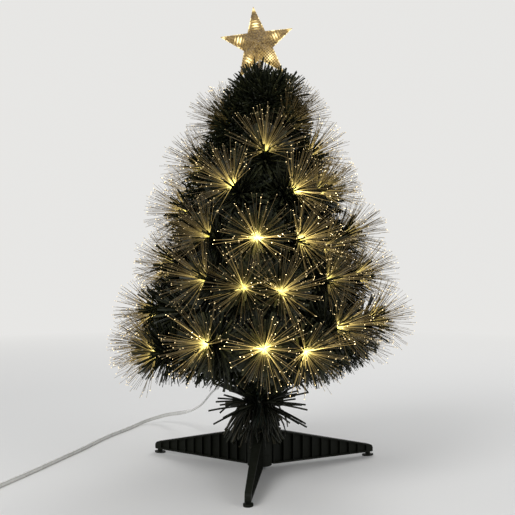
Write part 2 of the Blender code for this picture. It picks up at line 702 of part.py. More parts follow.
def add_end_spray(shape, room, face, direction, owner):
    """Draws a wire's end out to a sleeve, and each quarter of the sleeve's mouth out to a fibre."""
    end = face.calc_center_median()
    mouth = end + direction * (SEAT_GAP + SLEEVE_LENGTH)
    face = round_end(shape, face, end + direction * SLEEVE_SHOULDER, direction, SLEEVE_RADIUS)
    face = round_end(shape, face, mouth, direction, SLEEVE_RADIUS)
    for i, quarter in enumerate(bmesh.ops.poke(shape, faces=[face])["faces"]):
        lean = FIBRE_LEANS[i % len(FIBRE_LEANS)]
        add_fibre(shape, room, quarter, direction, mouth, lean, f"{owner} sleeve")


def make_whorls(room, branches, side_branches):
    for whorl in range(len(WHORL_BRANCHES)):
        wires = bmesh.new()
        for branch in branches + side_branches:
            owner, root, direction, length = branch[1:]
            if branch[0] != whorl:
                continue
            centres = (length * FIRST_NEEDLE_SHARE, length - LAST_NEEDLE_FROM_END)
            sides = square_rod(wires, root, direction, rod_stations(centres, length), WIRE_HALF_WIDTH)
            bmesh.ops.recalc_face_normals(wires, faces=wires.faces[:])
            if branch in side_branches:
                add_end_spray(wires, room, sides["end"], direction, owner)
            add_needles(wires, room, sides, direction, NEEDLE_LEANS, owner)
        middle = POLE_TOP * WHORL_HEIGHT_SHARES[whorl]
        low, high = middle - BINDING_HEIGHT / 2, middle + BINDING_HEIGHT / 2
        binding = tube(BINDING_BORE, BINDING_RADIUS, low, high, BINDING_SIDES)
        tier = add_object(f"branch_tier_{whorl + 1}", binding, "needle film")
        combine(tier, wires, "UNION")


def make_skirt(room):
    """A sleeve of drooping needles that hides the pole between the stand and the lowest branches."""
    bottom = SOCKET_TOP + SKIRT_BOTTOM_GAP
    centres = [bottom + (SKIRT_TOP - bottom) * share for share in SKIRT_BAND_SHARES]
    heights = [bottom, *[z + sign * NEEDLE_ROOT / 2 for z in centres for sign in (-1, 1)], SKIRT_TOP]
    radius = BINDING_BORE + SKIRT_WALL
    profile = [(radius, z) for z in heights] + [(BINDING_BORE, SKIRT_TOP), (BINDING_BORE, bottom)]
    shape = turned(profile, SKIRT_SIDES)
    bmesh.ops.recalc_face_normals(shape, faces=shape.faces[:])
    for row, height in enumerate(centres):
        band = [f for f in shape.faces if abs(f.calc_center_median().z - height) < NEEDLE_ROOT / 4]
        band = [f for f in band if f.calc_center_median().xy.length > (radius + BINDING_BORE) / 2]
        band.sort(key=lambda f: math.atan2(f.calc_center_median().y, f.calc_center_median().x))
        for face in band[row::2]:
            add_drooping_needle(shape, room, face, row)
    add_object("trunk_skirt", shape, "needle film")


def add_drooping_needle(shape, room, face, row):
    """A needle in two stretches, the second falling more; it is lifted until it keeps clear."""
    root = face.calc_center_median()
    level = Vector((root.x, root.y, 0.0)).normalized()
    wide = level.cross(UP)
    for lift in SKIRT_LIFTS:
        knee = root + leaning(level, lift - SKIRT_ARM_FALLS[row], 0) * SKIRT_ARM_LENGTH
        end = knee + leaning(level, lift - SKIRT_DROP_FALLS[1 - row], 0) * SKIRT_DROP_LENGTH
        start = root + level * 2 * NEEDLE_RADIUS
        arm_is_clear = room.is_clear(start, knee, NEEDLE_RADIUS, "pole")
        if end.z > STRAND_FLOOR and arm_is_clear and room.is_clear(knee, end, NEEDLE_RADIUS, "pole"):
            break
    else:
        return
    bent = draw_out(shape, face, wide, knee, NEEDLE_TIP_WIDTH, NEEDLE_TIP_THICKNESS)
    draw_out(shape, bent, wide, end, NEEDLE_TIP_WIDTH, NEEDLE_TIP_THICKNESS)
    room.add((start, knee, end), NEEDLE_RADIUS, "skirt")


def make_top_stem(room):
    """The square wire that carries the star, with needles, on a plug that sits in the pole's top."""
    wire = bmesh.new()
    length = STEM_TOP - STEM_BOTTOM
    free = STAR_SOCKET_BOTTOM - STEM_BOTTOM
    centres = [free * share for share in STEM_STATION_SHARES]
    start = UP * STEM_BOTTOM - UP * STEM_SHOULDER_HEIGHT / 2
    sunk = STEM_SHOULDER_HEIGHT / 2
    stations = rod_stations([c + sunk for c in centres], length + sunk)
    sides = square_rod(wire, start, UP, stations, STEM_HALF_WIDTH)
    bmesh.ops.recalc_face_normals(wire, faces=wire.faces[:])
    add_needles(wire, room, sides, UP, [STEM_NEEDLE_LEAN] * len(centres), "stem")
    plug = POLE_RADIUS - POLE_WALL - SEAT_GAP
    profile = (
        (0, POLE_TOP - STEM_PLUG_LENGTH),
        (plug, POLE_TOP - STEM_PLUG_LENGTH),
        (plug, POLE_TOP + SEAT_GAP),
        (POLE_RADIUS, POLE_TOP + SEAT_GAP),
        (POLE_RADIUS, STEM_BOTTOM),
        (0, STEM_BOTTOM),
    )
    stem = add_object("top_stem", turned(profile), "needle film")
    combine(stem, wire, "UNION")


def star_outline(inset):
    """The ten corners of the star, tip and notch in turn, drawn in by an inset square to its edges."""
    step = math.pi / STAR_POINTS
    edge = math.hypot(
        STAR_RADIUS - STAR_NOTCH_RADIUS * math.cos(step), STAR_NOTCH_RADIUS * math.sin(step)
    )
    scale = 1 - inset * edge / (STAR_RADIUS * STAR_NOTCH_RADIUS * math.sin(step))
    points = []
    for i in range(2 * STAR_POINTS):
        radius = (STAR_RADIUS if i % 2 == 0 else STAR_NOTCH_RADIUS) * scale
        angle = math.radians(90 + STAR_TURN) + step * i
        points.append((STAR_X + radius * math.cos(angle), STAR_HEIGHT + radius * math.sin(angle)))
    return points


def star_shell(side):
    """Half of the star: a hollow faceted shell, open towards the other half."""
    shape = bmesh.new()
    seam = side * SEAT_GAP / 2
    edge, depth = side * STAR_EDGE, side * STAR_DEPTH
    outer, inner = star_outline(0.0), star_outline(STAR_WALL)
    loops = [
        [shape.verts.new((x, edge, z)) for x, z in outer],
        [shape.verts.new((x, seam, z)) for x, z in outer],
        [shape.verts.new((x, seam, z)) for x, z in inner],
    ]
    for near, far in zip(loops, loops[1:]):
        for i in range(len(near)):
            j = (i + 1) % len(near)
            shape.faces.new((near[i], near[j], far[j], far[i]))
    for loop, apex in ((loops[0], depth), (loops[2], depth - side * STAR_WALL)):
        peak = shape.verts.new((STAR_X, apex, STAR_HEIGHT))
        for i in range(len(loop)):
            shape.faces.new((loop[i], loop[(i + 1) % len(loop)], peak))
    return shape


def star_boss(side):
    """The post inside a shell that holds the lamp carrier."""
    start = CARRIER_THICKNESS / 2 + SEAT_GAP
    shape = cylinder(STAR_BOSS_RADIUS, start, STAR_DEPTH - STAR_WALL * 0.75, GROMMET_SIDES)
    return moved(shape, along(Vector((0.0, side, 0.0)), Vector((STAR_X, 0.0, STAR_HEIGHT))))


def star_ribs(side):
    """The raised bars across the arms of a shell; each follows the two facets that it crosses."""
    shape = bmesh.new()
    step = math.pi / STAR_POINTS
    notch_along, notch_aside = STAR_NOTCH_RADIUS * math.cos(step), STAR_NOTCH_RADIUS * math.sin(step)
    outline = ((-1, 1), (0, 1), (1, 1), (1, -1), (0, -1), (-1, -1))
    for i in range(STAR_POINTS):
        angle = math.radians(90 + STAR_TURN) + 2 * step * i
        u, v = math.cos(angle), math.sin(angle)
        for share in STAR_RIB_SHARES:

            def place(point, end):
                reach = STAR_RADIUS * share + end * STAR_RIB_WIDTH / 2
                half = notch_aside * (STAR_RADIUS - reach) / (STAR_RADIUS - notch_along)
                ridge = STAR_DEPTH + (STAR_EDGE - STAR_DEPTH) * reach / STAR_RADIUS
                aside = point[0] * half * STAR_RIB_REACH
                depth = ridge + (STAR_EDGE - ridge) * abs(aside) / half + point[1] * STAR_RIB_RISE
                return (STAR_X + reach * u - aside * v, side * depth, STAR_HEIGHT + reach * v + aside * u)

            add_prism(shape, outline, place)
    return shape


def carrier_outline():
    """A round plate with one arm towards each lamp."""
    half = CARRIER_ARM_WIDTH / 2
    reach = STAR_RADIUS * LAMP_RADIUS_SHARE
    foot = math.sqrt(CARRIER_HUB_RADIUS**2 - half**2)
    points = []
    for i in range(STAR_POINTS):
        angle = math.radians(90 + STAR_TURN + 360 * i / STAR_POINTS)
        u = (math.cos(angle), math.sin(angle))
        for along_arm, aside in ((foot, -half), (reach, -half), (reach, half), (foot, half)):
            x, z = along_arm * u[0] - aside * u[1], along_arm * u[1] + aside * u[0]
            points.append((STAR_X + x, STAR_HEIGHT + z))
    return points


def make_star():
    for name, side in (("star_front_shell", -1), ("star_rear_shell", 1)):
        shell = add_object(name, star_shell(side), "clear plastic")
        combine(shell, star_boss(side), "UNION")
        combine(shell, star_ribs(side), "UNION")
    plate = extruded(carrier_outline(), lambda p, side: (p[0], side * CARRIER_THICKNESS / 2, p[1]))
    carrier = add_object("star_lamp_ring", plate, "lamp carrier")
    lamps = bmesh.new()
    centre, tips = star_tips()
    for tip in tips:
        place = centre.lerp(tip, LAMP_RADIUS_SHARE)
        add_round(lamps, place, Vector((0.0, 1.0, 0.0)), LAMP_RADIUS, LAMP_DEPTH, LAMP_SIDES)
    combine(carrier, lamps, "UNION")
    bore = STEM_HALF_WIDTH * math.sqrt(2) + SEAT_GAP
    profile = (
        (bore, STAR_SOCKET_BOTTOM),
        (SOCKET_TUBE_RADIUS, STAR_SOCKET_BOTTOM),
        (SOCKET_TUBE_RADIUS, SOCKET_CONE_BOTTOM),
        (SOCKET_CONE_TOP_RADIUS, SOCKET_CONE_TOP),
        (0, SOCKET_CONE_TOP),
        (0, SOCKET_CONE_BOTTOM),
        (bore, SOCKET_CONE_BOTTOM),
    )
    add_object("star_socket", turned(profile, GROMMET_SIDES), "clear plastic")


def add_round(shape, centre, axis, radius, length, sides):
    """Adds a short cylinder about a centre to a shape."""
    piece = cylinder(radius, -length / 2, length / 2, sides)
    moved(piece, along(axis, centre))
    mesh = bpy.data.meshes.new("piece")
    piece.to_mesh(mesh)
    piece.free()
    shape.from_mesh(mesh)
    bpy.data.meshes.remove(mesh)


def smooth_line(points, step):
    """Evenly spaced points on a smooth curve through a route's own points."""
    points = [2 * points[0] - points[1], *points, 2 * points[-1] - points[-2]]
    fine = []
    for before, start, end, after in zip(points, points[1:], points[2:], points[3:]):
        for i in range(24):
            t = i / 24
            bend = (end - before) * t + (2 * before - 5 * start + 4 * end - after) * t**2
            fine.append(start + (bend + (3 * start - before - 3 * end + after) * t**3) / 2)
    fine.append(points[-2])
    travelled = np.cumsum([0.0, *[(b - a).length for a, b in zip(fine, fine[1:])]])
    wanted = np.linspace(0.0, travelled[-1], max(2, round(travelled[-1] / step) + 1))
    axes = [np.interp(wanted, travelled, [p[k] for p in fine]) for k in range(3)]
    return [Vector(p) for p in zip(*axes)]


def cord_start_radius():
    return POLE_RADIUS + SEAT_GAP + GROMMET_FLANGE + GROMMET_NOSE + SEAT_GAP


def coil_heading():
    """The direction in which the lead runs into the coil."""
    last = Vector((*CORD_ROUTE[-1][:2], 0.0))
    return (Vector((*COIL_ENTRY, 0.0)) - last).normalized()


def cord_points():
    """The lead's centreline from the grommet's nose to the coil's entry."""
    out = azimuth_direction(GROMMET_AZIMUTH)
    start = out * cord_start_radius() + UP * GROMMET_HEIGHT
    heading = coil_heading()
    entry = Vector((*COIL_ENTRY, COIL_REST)) - heading * SEAT_GAP / 2
    before = entry - heading * 2 * CORD_RADIUS
    after = start + out * 2 * CORD_RADIUS
    route = [after, *[Vector(p) for p in CORD_ROUTE], before]
    return [start, *smooth_line(route, CORD_STEP), entry]


def coil_points():
    """One unbroken line that spirals in on the lower layer, climbs, and spirals out on the upper one."""
    heading = coil_heading()
    left = UP.cross(heading)
    entry = Vector((*COIL_ENTRY, COIL_REST)) + heading * SEAT_GAP / 2
    start = entry + heading * 2 * CORD_RADIUS
    centre = start - left * COIL_RADIUS
    count = round(COIL_TURNS * COIL_POINTS_A_TURN)
    points = [entry]
    for i in range(count + 1):
        turns = COIL_TURNS * i / count
        inward = COIL_PITCH * min(turns, COIL_TURNS - turns)
        climb = min(max((turns - COIL_TURNS / 2) * 2 + 0.5, 0.0), 1.0)
        angle = -2 * math.pi * turns
        spoke = left * math.cos(angle) + heading * -math.sin(angle)
        points.append(centre + spoke * (COIL_RADIUS - inward) + UP * COIL_PITCH * smooth_share(climb))
    way = coil_end_heading()
    return [*points, points[-1] + way * COIL_TAIL], centre


def smooth_share(t):
    return t * t * (3 - 2 * t)


def coil_end_heading():
    heading = coil_heading()
    angle = -2 * math.pi * COIL_TURNS
    return heading * math.cos(angle) + UP.cross(heading) * math.sin(angle)


def cord_object(name, points, resolution):
    curve = bpy.data.curves.new(name, "CURVE")
    curve.dimensions = "3D"
    curve.bevel_depth = CORD_RADIUS
    curve.bevel_resolution = resolution
    curve.use_fill_caps = True
    spline = curve.splines.new("POLY")
    spline.points.add(len(points) - 1)
    for place, point in zip(spline.points, points):
        place.co = (*point, 1.0)
    curve.materials.append(material("lead jacket"))
    obj = bpy.data.objects.new(name, curve)
    bpy.context.collection.objects.link(obj)
    return obj


def self_gap(points):
    """The least gap between a tube and its own other turns."""
    line = np.array([tuple(p) for p in points])
    least = math.inf
    apart = COIL_POINTS_A_TURN // 2
    for i in range(len(line) - apart - 1):
        far = distances(line[i], line[i + 1], line[i + apart : -1], line[i + apart + 1 :])
        least = min(least, float(far.min()))
    return least - 2 * CORD_RADIUS


def make_lead(cord):
    cord_object("lead", cord, 2)
    coil, centre = coil_points()
    cord_object("lead_coil", coil, 1)
    print(f"the coil's least gap to itself is {self_gap(coil) * 1000:.2f} mm")
    total = sum((b - a).length for line in (cord, coil) for a, b in zip(line, line[1:]))
    print(f"the lead is {total:.3f} m long")
    make_tie(centre)
    make_adaptor(coil[-1])


def make_tie(centre):
    """A flat band once round the bundle of turns."""
    inner_radius = COIL_RADIUS - COIL_PITCH * COIL_TURNS / 2 - CORD_RADIUS - SEAT_GAP
    outer_radius = COIL_RADIUS + CORD_RADIUS + SEAT_GAP
    low, high = TIE_THICKNESS, COIL_REST + COIL_PITCH + CORD_RADIUS + SEAT_GAP
    half = TIE_WIDTH / 2
    band = box(
        (inner_radius - TIE_THICKNESS, -half, 0.0),
        (outer_radius + TIE_THICKNESS, half, high + TIE_THICKNESS),
    )
    turn = Matrix.Rotation(math.radians(TIE_AZIMUTH), 4, "Z")
    place = Matrix.Translation((centre.x, centre.y, 0.0)) @ turn
    tie = add_object("coil_tie", moved(band, place), "lead jacket")
    hole = box((inner_radius, -half - OVERRUN, low), (outer_radius, half + OVERRUN, high))
    combine(tie, moved(hole, place), "DIFFERENCE")


def make_adaptor(end):
    """A plug-in adaptor lying on the floor beside the coil: body with a strain relief, and two round pins."""
    way = coil_end_heading()
    level = UP.cross(way)
    frame = Matrix((way, level, UP)).transposed().to_4x4()
    place = Matrix.Translation((end.x, end.y, 0.0)) @ frame
    near = SEAT_GAP + RELIEF_LENGTH
    far = near + ADAPTOR_LENGTH
    body = box((near, -ADAPTOR_WIDTH / 2, 0.0), (far, ADAPTOR_WIDTH / 2, ADAPTOR_HEIGHT))
    bmesh.ops.bevel(body, geom=body.edges[:], offset=ADAPTOR_BEVEL, segments=2, profile=0.5, affect="EDGES")
    adaptor = add_object("adaptor_body", moved(body, place), "adaptor plastic")
    inside = near + ADAPTOR_BEVEL
    taper = ((0, SEAT_GAP), (RELIEF_END_RADIUS, SEAT_GAP), (RELIEF_RADIUS, near), (RELIEF_RADIUS, inside), (0, inside))
    combine(adaptor, moved(turned(taper, GROMMET_SIDES), along(way, end)), "UNION")
    middle = ADAPTOR_HEIGHT / 2
    half_width = ADAPTOR_WIDTH / 2 - PIN_PLATE_MARGIN
    half_height = PIN_PLATE_HEIGHT / 2
    back = far - PIN_PLATE_THICKNESS
    pocket = box(
        (back - SEAT_GAP, -half_width - SEAT_GAP, middle - half_height - SEAT_GAP),
        (far + OVERRUN, half_width + SEAT_GAP, middle + half_height + SEAT_GAP),
    )
    combine(adaptor, moved(pocket, place), "DIFFERENCE")
    plate = box((back, -half_width, middle - half_height), (far, half_width, middle + half_height))
    pins = add_object("adaptor_pins", moved(plate, place), "pin metal")
    posts = bmesh.new()
    for side in (-1, 1):
        centre = Vector((far - PIN_PLATE_THICKNESS / 2 + PIN_LENGTH / 2, side * PIN_SPACING / 2, middle))
        add_round(posts, place @ centre, way, PIN_RADIUS, PIN_LENGTH, PIN_SIDES)
    combine(pins, posts, "UNION")


def main():
    clear_scene()
    room = Room()
    cord = cord_points()
    branches = branch_places(WHORL_BRANCHES, "branch")
    side_branches = branch_places(SIDE_BRANCHES, "side branch")
    fill_room(room, cord, branches + side_branches)
    make_stand()
    make_pole()
    sprays = make_sprays(room, branches)
    make_whorls(room, branches, side_branches)
    make_skirt(room)
    make_top_stem(room)
    make_star()
    make_lead(cord)
    print(f"{len(sprays)} sprays, {len(bpy.data.objects)} objects")


main()
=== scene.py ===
# %% [markdown]
# # A table-top fibre-optic tree
# The object is a small artificial tree: a folding plastic stand, a steel pole, whorls of
# needle branches that end in lit fibre sprays, a clear star and a flat low-voltage lead.
# The CAD model holds every piece at its true size. This script keeps it as a fixed frame,
# gives its hard pieces their finishes, and grows the soft ones again at full density.
# %% Load the CAD model as the frame
import math

import bmesh
import bpy
import numpy as np
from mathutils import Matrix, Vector


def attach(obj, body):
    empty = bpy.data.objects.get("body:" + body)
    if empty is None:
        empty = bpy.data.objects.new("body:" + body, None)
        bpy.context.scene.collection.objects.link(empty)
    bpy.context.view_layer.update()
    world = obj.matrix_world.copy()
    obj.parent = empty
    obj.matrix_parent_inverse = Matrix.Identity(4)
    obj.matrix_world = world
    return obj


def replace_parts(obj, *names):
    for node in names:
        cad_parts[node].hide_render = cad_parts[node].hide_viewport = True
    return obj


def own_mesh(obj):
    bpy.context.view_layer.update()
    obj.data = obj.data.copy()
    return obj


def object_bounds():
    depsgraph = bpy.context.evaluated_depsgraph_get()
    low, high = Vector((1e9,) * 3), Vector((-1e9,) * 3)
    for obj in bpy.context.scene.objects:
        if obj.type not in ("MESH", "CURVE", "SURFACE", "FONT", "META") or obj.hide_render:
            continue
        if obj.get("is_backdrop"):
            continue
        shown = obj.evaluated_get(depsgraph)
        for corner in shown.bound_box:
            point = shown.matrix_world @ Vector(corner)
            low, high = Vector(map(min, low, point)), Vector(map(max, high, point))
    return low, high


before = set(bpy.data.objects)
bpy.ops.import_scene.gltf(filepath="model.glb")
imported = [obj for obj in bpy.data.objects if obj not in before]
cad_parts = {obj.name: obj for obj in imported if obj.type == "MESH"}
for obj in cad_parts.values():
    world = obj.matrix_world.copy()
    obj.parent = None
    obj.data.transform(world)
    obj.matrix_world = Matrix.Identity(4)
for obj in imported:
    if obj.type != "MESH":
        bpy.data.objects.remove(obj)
cad_low, cad_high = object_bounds()
UP = Vector((0.0, 0.0, 1.0))
print(f"{len(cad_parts)} CAD nodes, box {tuple(round(v, 3) for v in cad_high - cad_low)}")

# %% [markdown]
# The camera comes first, because the lead is put away just outside its view. It looks level
# along +Y from 1.2 m in front of the pole, with a long lens as for a product picture. The
# horizon lies a little above the middle of the picture, which a small lens shift gives.
# %% Camera
PICTURE_PIXELS = 515
FOCAL_PIXELS = 866
HORIZON_PIXELS_UP = 3.5
CAMERA_PLACE = (-0.003, -1.2, 0.297)
camera_data = bpy.data.cameras.new("picture_camera")
camera_data.sensor_width = 36.0
camera_data.lens = camera_data.sensor_width * FOCAL_PIXELS / PICTURE_PIXELS
camera_data.shift_y = -HORIZON_PIXELS_UP / PICTURE_PIXELS
camera = bpy.data.objects.new("picture_camera", camera_data)
camera.location = CAMERA_PLACE
camera.rotation_euler = (math.radians(90), 0, 0)
bpy.context.collection.objects.link(camera)
bpy.context.scene.camera = camera
print(f"lens {camera_data.lens:.1f} mm")

# %% [markdown]
# A few helpers keep the node trees short. `put` adds a node, sets its properties and fills
# its inputs with numbers or with links. What it gives back is read and filled by name. Its
# outputs can be added, multiplied and so on: each sum puts a Math node into the same tree.
# %% Helpers for nodes


class Value:
    """One output in a node tree. Sums, differences, products and quotients add Math nodes."""

    def __init__(self, tree, socket):
        self.tree, self.socket = tree, socket

    def __add__(self, other):
        return math_of("ADD", self, other)

    def __sub__(self, other):
        return math_of("SUBTRACT", self, other)

    def __mul__(self, other):
        return math_of("MULTIPLY", self, other)

    def __truediv__(self, other):
        return math_of("DIVIDE", self, other)


class Node:
    """A node: node[key] reads an output, and node[key] = value fills or links an input."""

    def __init__(self, tree, node):
        self.tree, self.node = tree, node

    def __getitem__(self, key):
        return Value(self.tree, self.node.outputs[key])

    def __setitem__(self, key, value):
        if isinstance(value, Value):
            self.tree.links.new(value.socket, self.node.inputs[key])
        else:
            self.node.inputs[key].default_value = value


def put(tree, kind, inputs=None, **settings):
    """Adds a node; each input takes a number, a colour or a value of the same tree."""
    added = Node(tree, tree.nodes.new(kind))
    for key, value in settings.items():
        setattr(added.node, key, value)
    for key, value in (inputs or {}).items():
        added[key] = value
    return added


def math_of(operation, first, second=0.0, clamp=False):
    tree = (first if isinstance(first, Value) else second).tree
    settings = {"operation": operation, "use_clamp": clamp}
    return put(tree, "ShaderNodeMath", {0: first, 1: second}, **settings)[0]


def ranged(value, low, high, start=0.0, end=1.0):
    """Low up to the start, high from the end on, and straight in between."""
    inputs = {"Value": value, "From Min": start, "From Max": end, "To Min": low, "To Max": high}
    return put(value.tree, "ShaderNodeMapRange", inputs)[0]


def risen(value, start, end):
    return ranged(value, 0.0, 1.0, start, end)


def axes_of(vector):
    return put(vector.tree, "ShaderNodeSeparateXYZ", {0: vector})


# %% [markdown]
# These helpers make materials and put meshes into the scene. `finish_named` sets what is the
# same all over a piece on the shader itself, so each finish adds only what changes over its
# surface. `on_tree` says what holds for most new pieces: they move with the tree.
# %% Helpers for finishes and pieces


def finish_named(name, **levels):
    finish = bpy.data.materials.new(name)
    finish.use_nodes = True
    shader = Node(finish.node_tree, finish.node_tree.nodes["Principled BSDF"])
    for key, value in levels.items():
        shader[key.replace("_", " ")] = value
    return finish, shader


def linked(name, mesh, *materials):
    for finish in materials:
        mesh.materials.append(finish)
    obj = bpy.data.objects.new(name, mesh)
    bpy.context.collection.objects.link(obj)
    return obj


def mesh_from(name, vertices, faces, edges=()):
    mesh = bpy.data.meshes.new(name)
    mesh.from_pydata([tuple(v) for v in vertices], list(edges), faces)
    return mesh


def mesh_of_bmesh(name, work):
    mesh = bpy.data.meshes.new(name)
    work.to_mesh(mesh)
    work.free()
    return mesh


def tube_faces(rings, sides, closed=False):
    """The quads between rings of points; a closed tube goes on from its last ring to its first."""
    faces = []
    for i in range(rings if closed else rings - 1):
        after = (i + 1) % rings
        for k in range(sides):
            j = (k + 1) % sides
            faces.append((i * sides + k, i * sides + j, after * sides + j, after * sides + k))
    return faces


def smooth_up_to(mesh, degrees):
    mesh.shade_smooth()
    mesh.set_sharp_from_angle(angle=math.radians(degrees))


def on_tree(slot, *pieces):
    for piece in pieces:
        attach(piece, "tree")


# %% [markdown]
# The floor is a wide pale disc. Near the tree it is an ordinary matt surface that takes the
# tree's shadow. Further out it turns into the plain colour of the backdrop, so no horizon
# line cuts through the picture.
# %% Floor, backdrop and lamps
BACKDROP = (0.80, 0.795, 0.78, 1.0)
FLOOR_RADIUS = 6.0
SHADOW_FLOOR_RADIUS = 0.8
PLAIN_FLOOR_RADIUS = 2.2
SKY_COLOUR = (0.95, 0.97, 1.0, 1.0)
SKY_STRENGTH = 0.42
LAMPS_LOOK_AT = Vector((0, 0, 0.3))

studio_floor, shader = finish_named("studio_floor", Base_Color=BACKDROP, Roughness=0.7)
tree = shader.tree
place = put(tree, "ShaderNodeTexCoord")
away = put(tree, "ShaderNodeVectorMath", {0: place["Object"]}, operation="LENGTH")
far = risen(away["Value"], SHADOW_FLOOR_RADIUS, PLAIN_FLOOR_RADIUS)
share = far * put(tree, "ShaderNodeLightPath")["Is Camera Ray"]
glow = put(tree, "ShaderNodeEmission", {"Color": BACKDROP, "Strength": 1.0})
mix = put(tree, "ShaderNodeMixShader", {0: share, 1: shader[0], 2: glow[0]})
Node(tree, tree.nodes["Material Output"])["Surface"] = mix[0]
disc = bmesh.new()
bmesh.ops.create_circle(disc, cap_ends=True, radius=FLOOR_RADIUS, segments=64)
linked("floor", mesh_of_bmesh("floor", disc), studio_floor)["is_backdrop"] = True

world = bpy.data.worlds.new("studio")
world.use_nodes = True
bpy.context.scene.world = world
tree = world.node_tree
ray = put(tree, "ShaderNodeLightPath")
seen = math_of("MAXIMUM", ray["Is Camera Ray"], ray["Is Glossy Ray"])
seen = math_of("MAXIMUM", seen, ray["Is Transmission Ray"])
lit_world = put(tree, "ShaderNodeBackground", {"Color": SKY_COLOUR, "Strength": SKY_STRENGTH})
seen_world = put(tree, "ShaderNodeBackground", {"Color": BACKDROP, "Strength": 1.0})
both = put(tree, "ShaderNodeMixShader", {0: seen, 1: lit_world[0], 2: seen_world[0]})
Node(tree, tree.nodes["World Output"])["Surface"] = both[0]

for name, place, watts, size in (
    ("key_softbox", (-1.3, -1.6, 1.9), 30, 1.2),
    ("fill_softbox", (1.8, -1.2, 1.0), 9, 1.4),
    ("back_softbox", (0.6, 1.9, 1.7), 16, 1.2),
):
    lamp = bpy.data.lights.new(name, "AREA")
    lamp.energy = watts
    lamp.size = size
    obj = bpy.data.objects.new(name, lamp)
    obj.location = place
    obj.rotation_euler = (LAMPS_LOOK_AT - Vector(place)).to_track_quat("-Z", "Y").to_euler()
    bpy.context.collection.objects.link(obj)
print("three soft lamps and a pale floor")

# %% [markdown]
# The lead is a flat two-core cable, 6.4 mm wide and 2.6 mm thick. A flat cable bends only
# over its flat side. Where it leaves the pole it lies flat with its narrow edge to the
# front, and in its curves along the floor and in its coil it stands on edge, with a slow
# quarter turn in between. Its line is the CAD lead's own line, so the route's points are
# repeated here in metres.
# %% Line of the lead
CORD_WIDTH = 0.0064
CORD_THICKNESS = 0.0026
CORD_RADIUS = CORD_WIDTH / 2
SEAT_GAP = 0.0003
GROMMET_HEIGHT = 0.118
GROMMET_AZIMUTH = 149.0
CORD_START_RADIUS = 0.0163
CORD_STEP = 0.0125
CURVE_STEPS = 24
CORD_ROUTE = (
    (-0.0486, 0.0300, 0.1135),
    (-0.0694, 0.0900, 0.0922),
    (-0.0880, 0.1500, 0.0646),
    (-0.1016, 0.1950, 0.0489),
    (-0.1153, 0.2350, 0.0368),
    (-0.1358, 0.2800, 0.0253),
    (-0.1600, 0.3120, 0.0165),
    (-0.1840, 0.3200, 0.0088),
    (-0.2060, 0.3000, 0.0040),
    (-0.2200, 0.2600, 0.0032),
    (-0.2455, 0.1900, 0.0032),
    (-0.2660, 0.1100, 0.0032),
    (-0.2820, 0.0560, 0.0032),
    (-0.3040, -0.0200, 0.0032),
    (-0.3280, -0.0960, 0.0032),
)
COIL_ENTRY = Vector((-0.3420, -0.1450, 0.0043))
COIL_TURNS = 3.25
COIL_RADIUS = 0.040
COIL_PITCH = 0.0070
COIL_POINTS_A_TURN = 24
COIL_TAIL = 0.026


def level_direction(degrees):
    return Vector((math.cos(math.radians(degrees)), math.sin(math.radians(degrees)), 0.0))


def distances_along(points):
    return np.cumsum([0.0, *[(b - a).length for a, b in zip(points, points[1:])]])


def eased(t):
    """0 up to t = 0, 1 from t = 1 on, with a smooth change in between."""
    t = min(max(t, 0.0), 1.0)
    return t * t * (3 - 2 * t)


def smooth_line(points, step):
    """Evenly spaced points on a smooth curve through a route's own points."""
    points = [2 * points[0] - points[1], *points, 2 * points[-1] - points[-2]]
    fine = []
    for before, start, end, after in zip(points, points[1:], points[2:], points[3:]):
        for i in range(CURVE_STEPS):
            t = i / CURVE_STEPS
            bend = (end - before) * t + (2 * before - 5 * start + 4 * end - after) * t**2
            fine.append(start + (bend + (3 * start - before - 3 * end + after) * t**3) / 2)
    fine.append(points[-2])
    travelled = distances_along(fine)
    wanted = np.linspace(0.0, travelled[-1], round(travelled[-1] / step) + 1)
    axes = [np.interp(wanted, travelled, [p[k] for p in fine]) for k in range(3)]
    return [Vector(p) for p in zip(*axes)]


def lead_line():
    out = level_direction(GROMMET_AZIMUTH)
    start = out * CORD_START_RADIUS + UP * GROMMET_HEIGHT
    last = Vector((*CORD_ROUTE[-1][:2], 0.0))
    heading = (Vector((*COIL_ENTRY[:2], 0.0)) - last).normalized()
    left = UP.cross(heading)
    before = COIL_ENTRY - heading * 2 * CORD_RADIUS
    route = [start + out * 2 * CORD_RADIUS, *[Vector(p) for p in CORD_ROUTE], before]
    turn_in = COIL_ENTRY + heading * 2 * CORD_RADIUS
    centre = turn_in - left * COIL_RADIUS
    coil = []
    count = round(COIL_TURNS * COIL_POINTS_A_TURN)
    for i in range(count + 1):
        turns = COIL_TURNS * i / count
        inward = COIL_PITCH * min(turns, COIL_TURNS - turns)
        rise = COIL_PITCH * eased((turns - COIL_TURNS / 2) * 2 + 0.5)
        spoke = left * math.cos(2 * math.pi * turns) + heading * math.sin(2 * math.pi * turns)
        coil.append(centre + spoke * (COIL_RADIUS - inward) + UP * rise)
    angle = -2 * math.pi * COIL_TURNS
    tail = heading * math.cos(angle) + left * math.sin(angle)
    coil.append(coil[-1] + tail * COIL_TAIL)
    return [start, *smooth_line(route, CORD_STEP), COIL_ENTRY, *coil]


lead_points = lead_line()
lead_length = float(distances_along(lead_points)[-1])
print(f"the lead is {lead_length:.3f} m long over {len(lead_points)} points")

